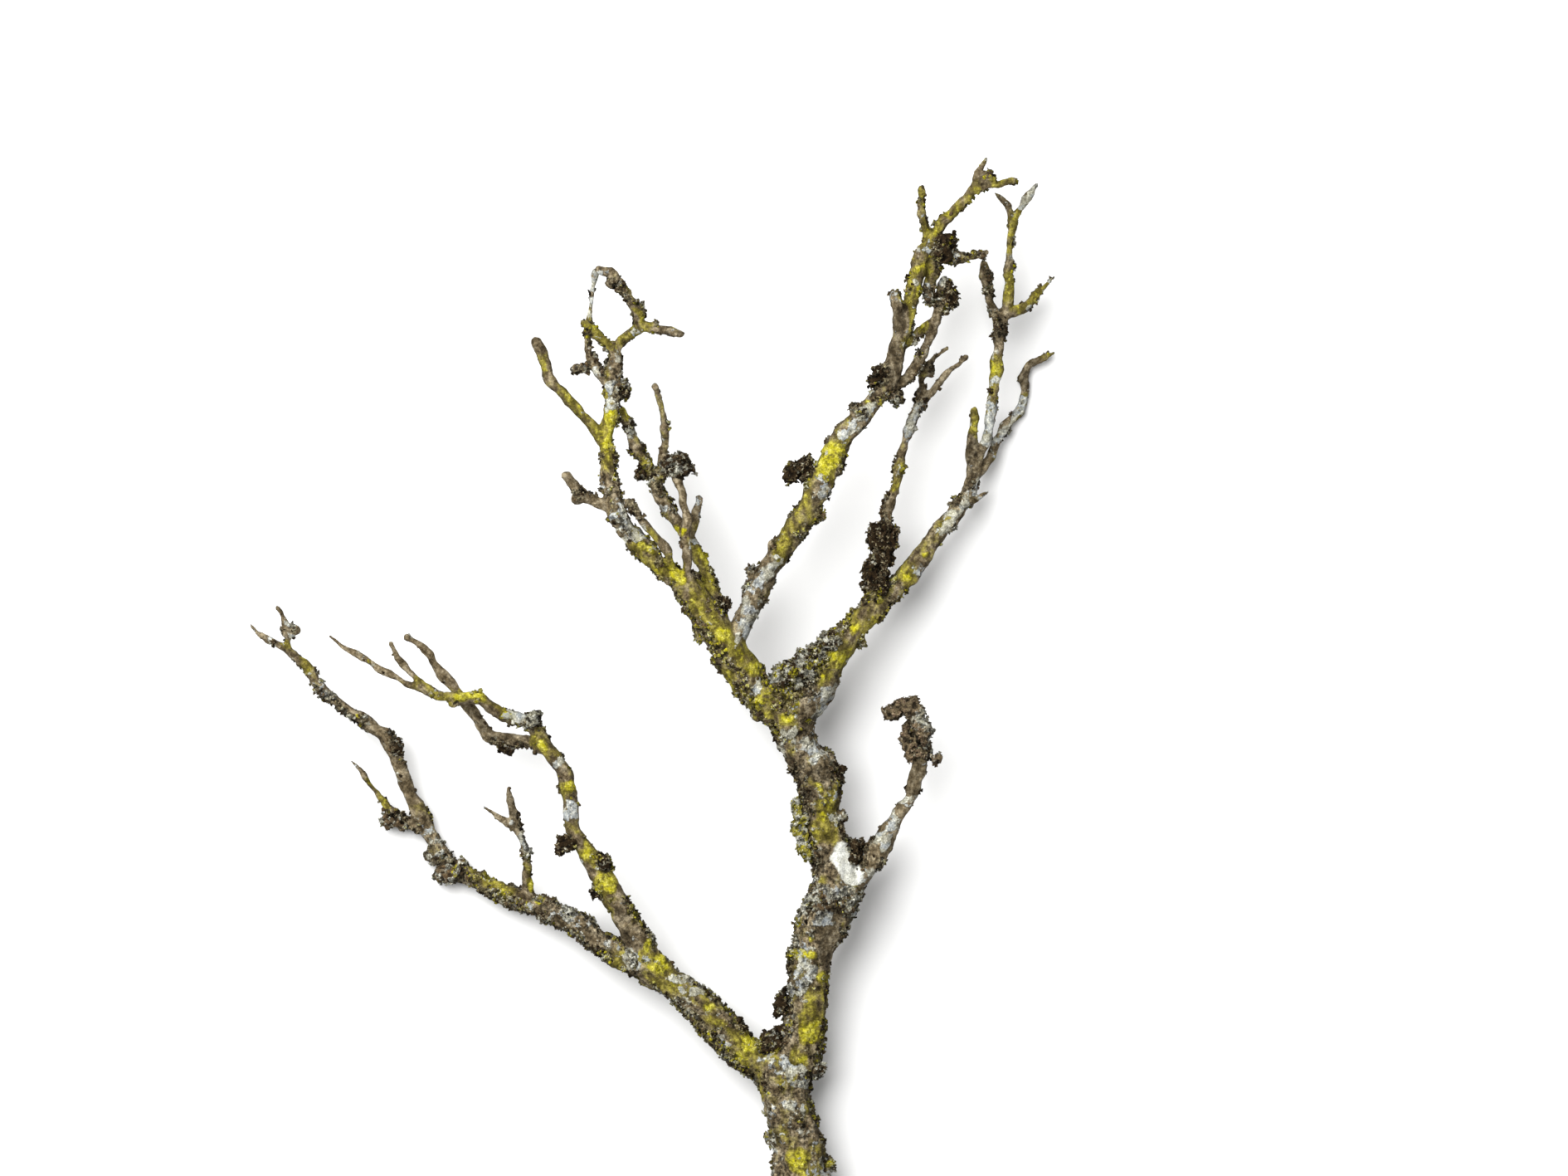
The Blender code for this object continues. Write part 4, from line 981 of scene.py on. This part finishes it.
class Finish(Tree):
    """A material in the making, on the piece's own coordinates."""

    def __init__(self, name, colour):
        self.material = bpy.data.materials.new(name)
        self.material.use_nodes = True
        self.material.diffuse_color = (*colour, 1)
        super().__init__(self.material.node_tree)
        self.tree.nodes.clear()
        self.place = self.add("ShaderNodeTexCoord", output="Object")

    def noise(self, size, detail=3, shift=0, at=None):
        """Noise round 0.5 with spots of about the given size."""
        moved = self.add("ShaderNodeVectorMath", {"operation": "ADD"},
                         {0: at or self.place, 1: (shift * MM, shift * MM, -shift * MM)})
        return self.add("ShaderNodeTexNoise", {},
                        {"Vector": moved, "Scale": 1 / (size * MM), "Detail": detail, "Roughness": 0.6})

    def speckle(self, size, shift=0):
        """Noise stretched until it fills 0 to 1."""
        return self.step(self.noise(size, 4, shift), 0.34, 0.66)

    def run_along(self, lean, stretch):
        """Coordinates that stretch a pattern across the wood's run, or along it if stretch is under 1."""
        turn = (0, 0, math.radians(lean))
        return self.add("ShaderNodeMapping", {"vector_type": "TEXTURE"},
                        {"Vector": self.place, "Rotation": turn, "Scale": (stretch, 1, 1)})

    def rings(self, middle, spacing):
        """Year rings round a line along Y, from 0 to 1."""
        centred = self.add("ShaderNodeMapping", {"vector_type": "TEXTURE"},
                           {"Vector": self.place, "Location": tuple(middle)})
        return self.add("ShaderNodeTexWave", {"wave_type": "RINGS", "rings_direction": "Y"},
                        {"Vector": centred, "Scale": math.pi / (10 * spacing * MM), "Distortion": 2.0,
                         "Detail": 3.0, "Detail Scale": 0.3}, "Fac")

    def trait(self, name):
        return self.add("ShaderNodeAttribute", {"attribute_name": name}, output="Fac")

    def step(self, value, low, high):
        """0 below low and 1 above high, smooth between."""
        return self.add("ShaderNodeMapRange", {"interpolation_type": "SMOOTHSTEP"},
                        {"Value": value, "From Min": low, "From Max": high})

    def cover(self, trait, size, spread, shift, edge):
        """Where something covers the skin: the more of the trait, the more of it, with a ragged border."""
        level = trait + (self.noise(size, 4, shift) - 0.5) * spread
        return self.step(level, 0.5 - edge, 0.5 + edge)

    def blend(self, share, under, over):
        under, over = (value if isinstance(value, Wire) else (*value, 1) for value in (under, over))
        return self.add("ShaderNodeMix", {"data_type": "RGBA"}, {"Factor": share, "A": under, "B": over})

    def shaded(self, colour, light):
        """The colour, darker or lighter by a number."""
        grey = self.add("ShaderNodeCombineColor", {}, {"Red": light, "Green": light, "Blue": light})
        return self.add("ShaderNodeMix", {"data_type": "RGBA", "blend_type": "MULTIPLY"},
                        {"Factor": 1.0, "A": colour, "B": grey})

    def end(self, colour, height, depth, roughness):
        """The finished material, dull, with a bump as deep as given in mm."""
        bump = self.add("ShaderNodeBump", {}, {"Height": height, "Distance": depth * MM, "Strength": 1.0})
        shader = self.add("ShaderNodeBsdfPrincipled", {},
                          {"Base Color": colour, "Roughness": roughness, "Normal": bump,
                           "Specular IOR Level": SHEEN})
        self.add("ShaderNodeOutputMaterial", {}, {"Surface": shader})
        return self.material


def sawn_face(bark, rings, coarse):
    """The colour of the trunk's sawn end."""
    wood = bark.blend(rings * (0.2 + 0.6 * coarse), SAWN_WOOD, SAWN_RING)
    return bark.shaded(wood, 0.75 + 0.4 * bark.speckle(3, 37))


def bark_finish(name, lean):
    """Brown wood under yellow film, pale crust and white patches. lean is how the wood runs, in degrees."""
    bark = Finish(name, BROWN)
    along = bark.run_along(lean, 0.5)
    wrinkles = bark.noise(0.9, 4, at=bark.run_along(lean, 3))
    streaks = bark.noise(4, 6, 11, at=along)
    fine = bark.speckle(0.5, 23)
    coarse = bark.speckle(1.8, 29)
    ragged = bark.noise(1.3, 4, 17) - 0.5
    # Brown wood, from dark to tan along its streaks.
    tone = streaks + (wrinkles - 0.5) * 0.4
    colour = bark.blend(bark.step(tone, 0.32, 0.50), UMBER, BROWN)
    colour = bark.blend(bark.step(tone, 0.46, 0.68), colour, TAN)
    # Yellow film, olive at first and bright where it is thick.
    grown = bark.trait("yellow")
    yellow = grown * 1.4 + (bark.noise(10, 1, 31, at=along) - 0.5) * (2.4 - 2 * grown)
    film = bark.step(yellow + ragged * 0.4 + (streaks - 0.5) * 0.6, 0.50, 0.88)
    colour = bark.blend(film * 0.85, colour, bark.blend(bark.step(tone, 0.42, 0.6), OLIVE, MOSS))
    bright = bark.step(yellow + ragged * 2.2 + (streaks - 0.5), 0.88, 1.60)
    colour = bark.blend(bright, colour, bark.blend(coarse * fine, YELLOW, PALE_YELLOW))
    # Pale crust, grey or bluish, then the white patches and the ground under crumbs.
    grown = bark.trait("pale")
    pale = grown * 1.2 + (bark.noise(7, 1, 57) - 0.5) * (2.2 - 1.8 * grown)
    crust = bark.step(pale + (bark.noise(2.6, 4, 61) - 0.5) * 2.8, 0.62, 0.84)
    grey = bark.blend(bark.step(bark.noise(6, 2, 71), 0.45, 0.58), GREY, BLUE_GREY)
    colour = bark.blend(crust * 0.85, colour, bark.blend(fine * coarse + 0.1, grey, PALE_GREY))
    white = bark.cover(bark.trait("white"), size=1.6, spread=0.7, shift=83, edge=0.14)
    colour = bark.blend(white, colour, bark.blend(bark.step(streaks, 0.35, 0.6), PALE_GREY, WHITE))
    growth = bark.cover(bark.trait("crumbs"), size=1.4, spread=1.0, shift=97, edge=0.14) * (1 - white)
    colour = bark.blend(growth * 0.65, colour, bark.blend(fine * coarse, SOOT, LICHEN_GREY))
    # Painted light and shade: painted shade in hollows and on sides that face away from the top, painted
    # highlight where the bark stands proud; darker too in specks and on brown wood.
    hollow = bark.trait("hollow") + ragged * 0.1
    dark = bark.step(hollow, 0.56, 1)
    proud = bark.step(hollow, 0.42, 0)
    specks = bark.step(bark.noise(1.1, 6, 41), 0.54, 0.40) * (bark.trait("rough") * 0.6 + 0.15)
    specks = specks * (1 - white) * (1 - 0.6 * film)
    light = (0.74 + 0.62 * fine + 0.30 * coarse) * (1 - 0.6 * dark) * (1 + 0.3 * proud) * (1 - specks)
    light = light * (1 - 0.5 * bark.step(bark.trait("side_shade_and_brown"), 0.1, 1))
    # The sawn end, and the bump.
    cut = bark.trait("cut")
    rings = bark.rings(TRUNK_END[0], RING_SPACING)
    colour = bark.blend(cut, bark.shaded(colour, light), sawn_face(bark, rings, coarse))
    height = wrinkles * 0.3 + fine * 0.25 + streaks * 0.5 + crust * 0.5 + bright * coarse * 0.5
    height = height * (1 - cut) + rings * cut * 0.1
    return bark.end(colour, height, depth=0.5, roughness=0.9)


def lichen_finish(name, deep, middle, light):
    """Ruffled lobes, each of a tint of its own, with paler rims, here and there yellow or pale."""
    lichen = Finish(name, middle)
    tint = lichen.trait("tint")
    fine = lichen.speckle(0.5, 7)
    mottle = lichen.noise(1.8, 3, 17)
    colour = lichen.blend(lichen.step(tint * 0.6 + mottle * 0.6, 0.3, 0.6), deep, middle)
    for trait, shift, thin, thick in (("yellow", 31, MOSS, YELLOW), ("pale", 57, GREY, PALE_GREY)):
        level = lichen.trait(trait) * 0.6 + tint * 0.3
        share = lichen.cover(level, size=3, spread=1.8, shift=shift, edge=0.1)
        colour = lichen.blend(share, colour, lichen.blend(lichen.step(mottle, 0.42, 0.6), thin, thick))
    rims = lichen.step(lichen.trait("rim") + (fine - 0.5) * 0.5 + (tint - 0.5) * 0.5, 0.85, 1.15)
    colour = lichen.blend(rims * 0.7, colour, light)
    # Painted shade: darker in the lichen's hollows and on its sides that face away from the top.
    dark = lichen.step(lichen.trait("hollow"), 0.5, 0.8)
    side_shade_and_brown = lichen.step(lichen.trait("side_shade_and_brown"), 0.1, 1)
    colour = lichen.shaded(colour, (0.65 + 1.15 * fine) * (1 - 0.75 * dark) * (1 - 0.5 * side_shade_and_brown))
    return lichen.end(colour, fine + mottle, depth=0.3, roughness=0.92)


def painted(piece, material):
    piece.data.materials.clear()
    piece.data.materials.append(material)
    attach(piece, "root")
    return piece


# ---------------------------------------------------------------- the twig

# How each piece of bark runs, in degrees, and each kind of lichen's colours: deep, middle and light.
LEANS = {"trunk_bark": 5, "stem_bark": -5, "left_branches_bark": 50, "upper_left_branches_bark": 15,
         "right_branches_bark": -30}
LICHEN_COLOURS = {
    "brown_lichen": (BROWN, SPUR_BROWN, TAN),
    "dark_lichen": (SOOT, LICHEN_BROWN, LICHEN_GREY),
    "pale_lichen": (LICHEN_BROWN, GREY, PALE_GREY),
    "yellow_lichen": (MOSS, PALE_YELLOW, PALE_GREY),
}


def crumb_shares(piece):
    """How thick crumbs grow on each vertex of a piece of bark, by the slot of their finish."""
    where, _ = places(piece)
    growth = get_attribute(piece, "crumbs")
    yellow = smooth_step(get_attribute(piece, "yellow") + clumps(where, CLUMP_SIZE, 21) * 0.8, 0.6, 0.9)
    pale = smooth_step(get_attribute(piece, "pale") + clumps(where, CLUMP_SIZE, 33) * 0.8, 0.5, 0.8)
    pale = pale * (1 - yellow)
    return {
        "dark_lichen": growth * (1 - yellow) * (1 - pale),
        "yellow_lichen": growth * yellow,
        "pale_lichen": growth * pale,
    }


def dress_bark(barks, crumbs, lichens):
    """Grows the crumbs along each piece of bark, and gives both their finishes."""
    for number, (name, piece) in enumerate(barks.items(), 1):
        place = name.removesuffix("_bark")
        for step, (slot, growth) in enumerate(crumb_shares(piece).items()):
            layer_name = place + "_" + slot.removesuffix("_lichen") + "_crumbs"
            layer = grow_crumbs(piece, layer_name, growth, crumbs, 100 * number + 10 * step)
            painted(layer, lichens[slot])
        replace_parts(painted(piece, bark_finish(name, LEANS[name])), *WOOD[name])


def dress_lumps(bark_skin, lobes, lichens):
    """Turns each lump of lichen into a tuft. The spur's head is browner than the rest."""
    lumps = [(slot, name) for slot, names in TUFTS.items() for name in names]
    for number, (slot, name) in enumerate(lumps, 1):
        finish = lichens["brown_lichen" if name == "spur_head" else slot]
        tuft = grow_tuft(name, number, bark_skin, lobes)
        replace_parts(painted(tuft, finish), name + "_lichen")


wood = grow_bark()
wood_skin = BVHTree.FromObject(wood, bpy.context.evaluated_depsgraph_get())
wood_parts = part_bark(wood)
bpy.data.objects.remove(wood)

lobe_shelf = shelf("lobes", [
    lobe(kind + "_lobe_" + str(seed), LOBE_SIZES[kind], LOBE_CURLS[kind], seed)
    for kind in LOBE_SIZES for seed in (1, 2)])
crumb_shelf = shelf("crumbs", [crumb("crumb_" + str(seed), seed) for seed in (1, 2, 3)] + [
    lobe("curl_" + str(seed), LOBE_SIZES["broad"], CRUMB_CURL, seed) for seed in (5, 6, 7)])

lichen_finishes = {name: lichen_finish(name, *colours) for name, colours in LICHEN_COLOURS.items()}
dress_bark(wood_parts, crumb_shelf, lichen_finishes)
dress_lumps(wood_skin, lobe_shelf, lichen_finishes)


# ---------------------------------------------------------------- floor, light and camera

def lay_floor():
    """A pale sheet of paper just under the twig."""
    deselect()
    bpy.ops.mesh.primitive_plane_add(size=FLOOR_WIDTH * MM, location=(0, 0, -FLOOR_DEPTH * MM))
    floor = bpy.context.active_object
    floor.name = "floor"
    bpy.ops.object.transform_apply(location=True)
    paper = Finish("pale_floor", PAPER)
    tone = paper.blend(paper.noise(40, 2), PAPER, PAPER_LIGHT)
    floor.data.materials.append(paper.end(tone, paper.noise(1.5, 2), depth=0.02, roughness=0.9))


def light_softly():
    """Even white light from all round, and one large lamp aimed at the frame's origin."""
    world = bpy.data.worlds.new("soft_daylight")
    world.use_nodes = True
    world.node_tree.nodes["Background"].inputs["Color"].default_value = (1, 1, 1, 1)
    world.node_tree.nodes["Background"].inputs["Strength"].default_value = DAYLIGHT
    bpy.context.scene.world = world
    light = bpy.data.lights.new("soft_box", "AREA")
    light.shape = "DISK"
    light.size = LAMP_WIDTH * MM
    light.energy = LAMP_POWER
    lamp = bpy.data.objects.new("soft_box", light)
    lamp.location = Vector(LAMP_PLACE) * MM
    lamp.rotation_euler = (-lamp.location).to_track_quat("-Z", "Y").to_euler()
    bpy.context.scene.collection.objects.link(lamp)


def look_down():
    """The camera, straight above the middle of the picture."""
    camera = bpy.data.objects.new("camera", bpy.data.cameras.new("camera"))
    camera.data.sensor_width = SENSOR_WIDTH
    camera.data.lens = SENSOR_WIDTH * (CAMERA_HEIGHT - WOOD_HEIGHT) / (PICTURE_WIDTH * MM_PER_PIXEL)
    camera.data.clip_end = VIEW_LIMIT * MM
    camera.location = Vector((*PICTURE_MIDDLE, CAMERA_HEIGHT)) * MM
    bpy.context.scene.collection.objects.link(camera)
    bpy.context.scene.camera = camera


lay_floor()
light_softly()
look_down()
bpy.context.scene.view_settings.view_transform = "Standard"
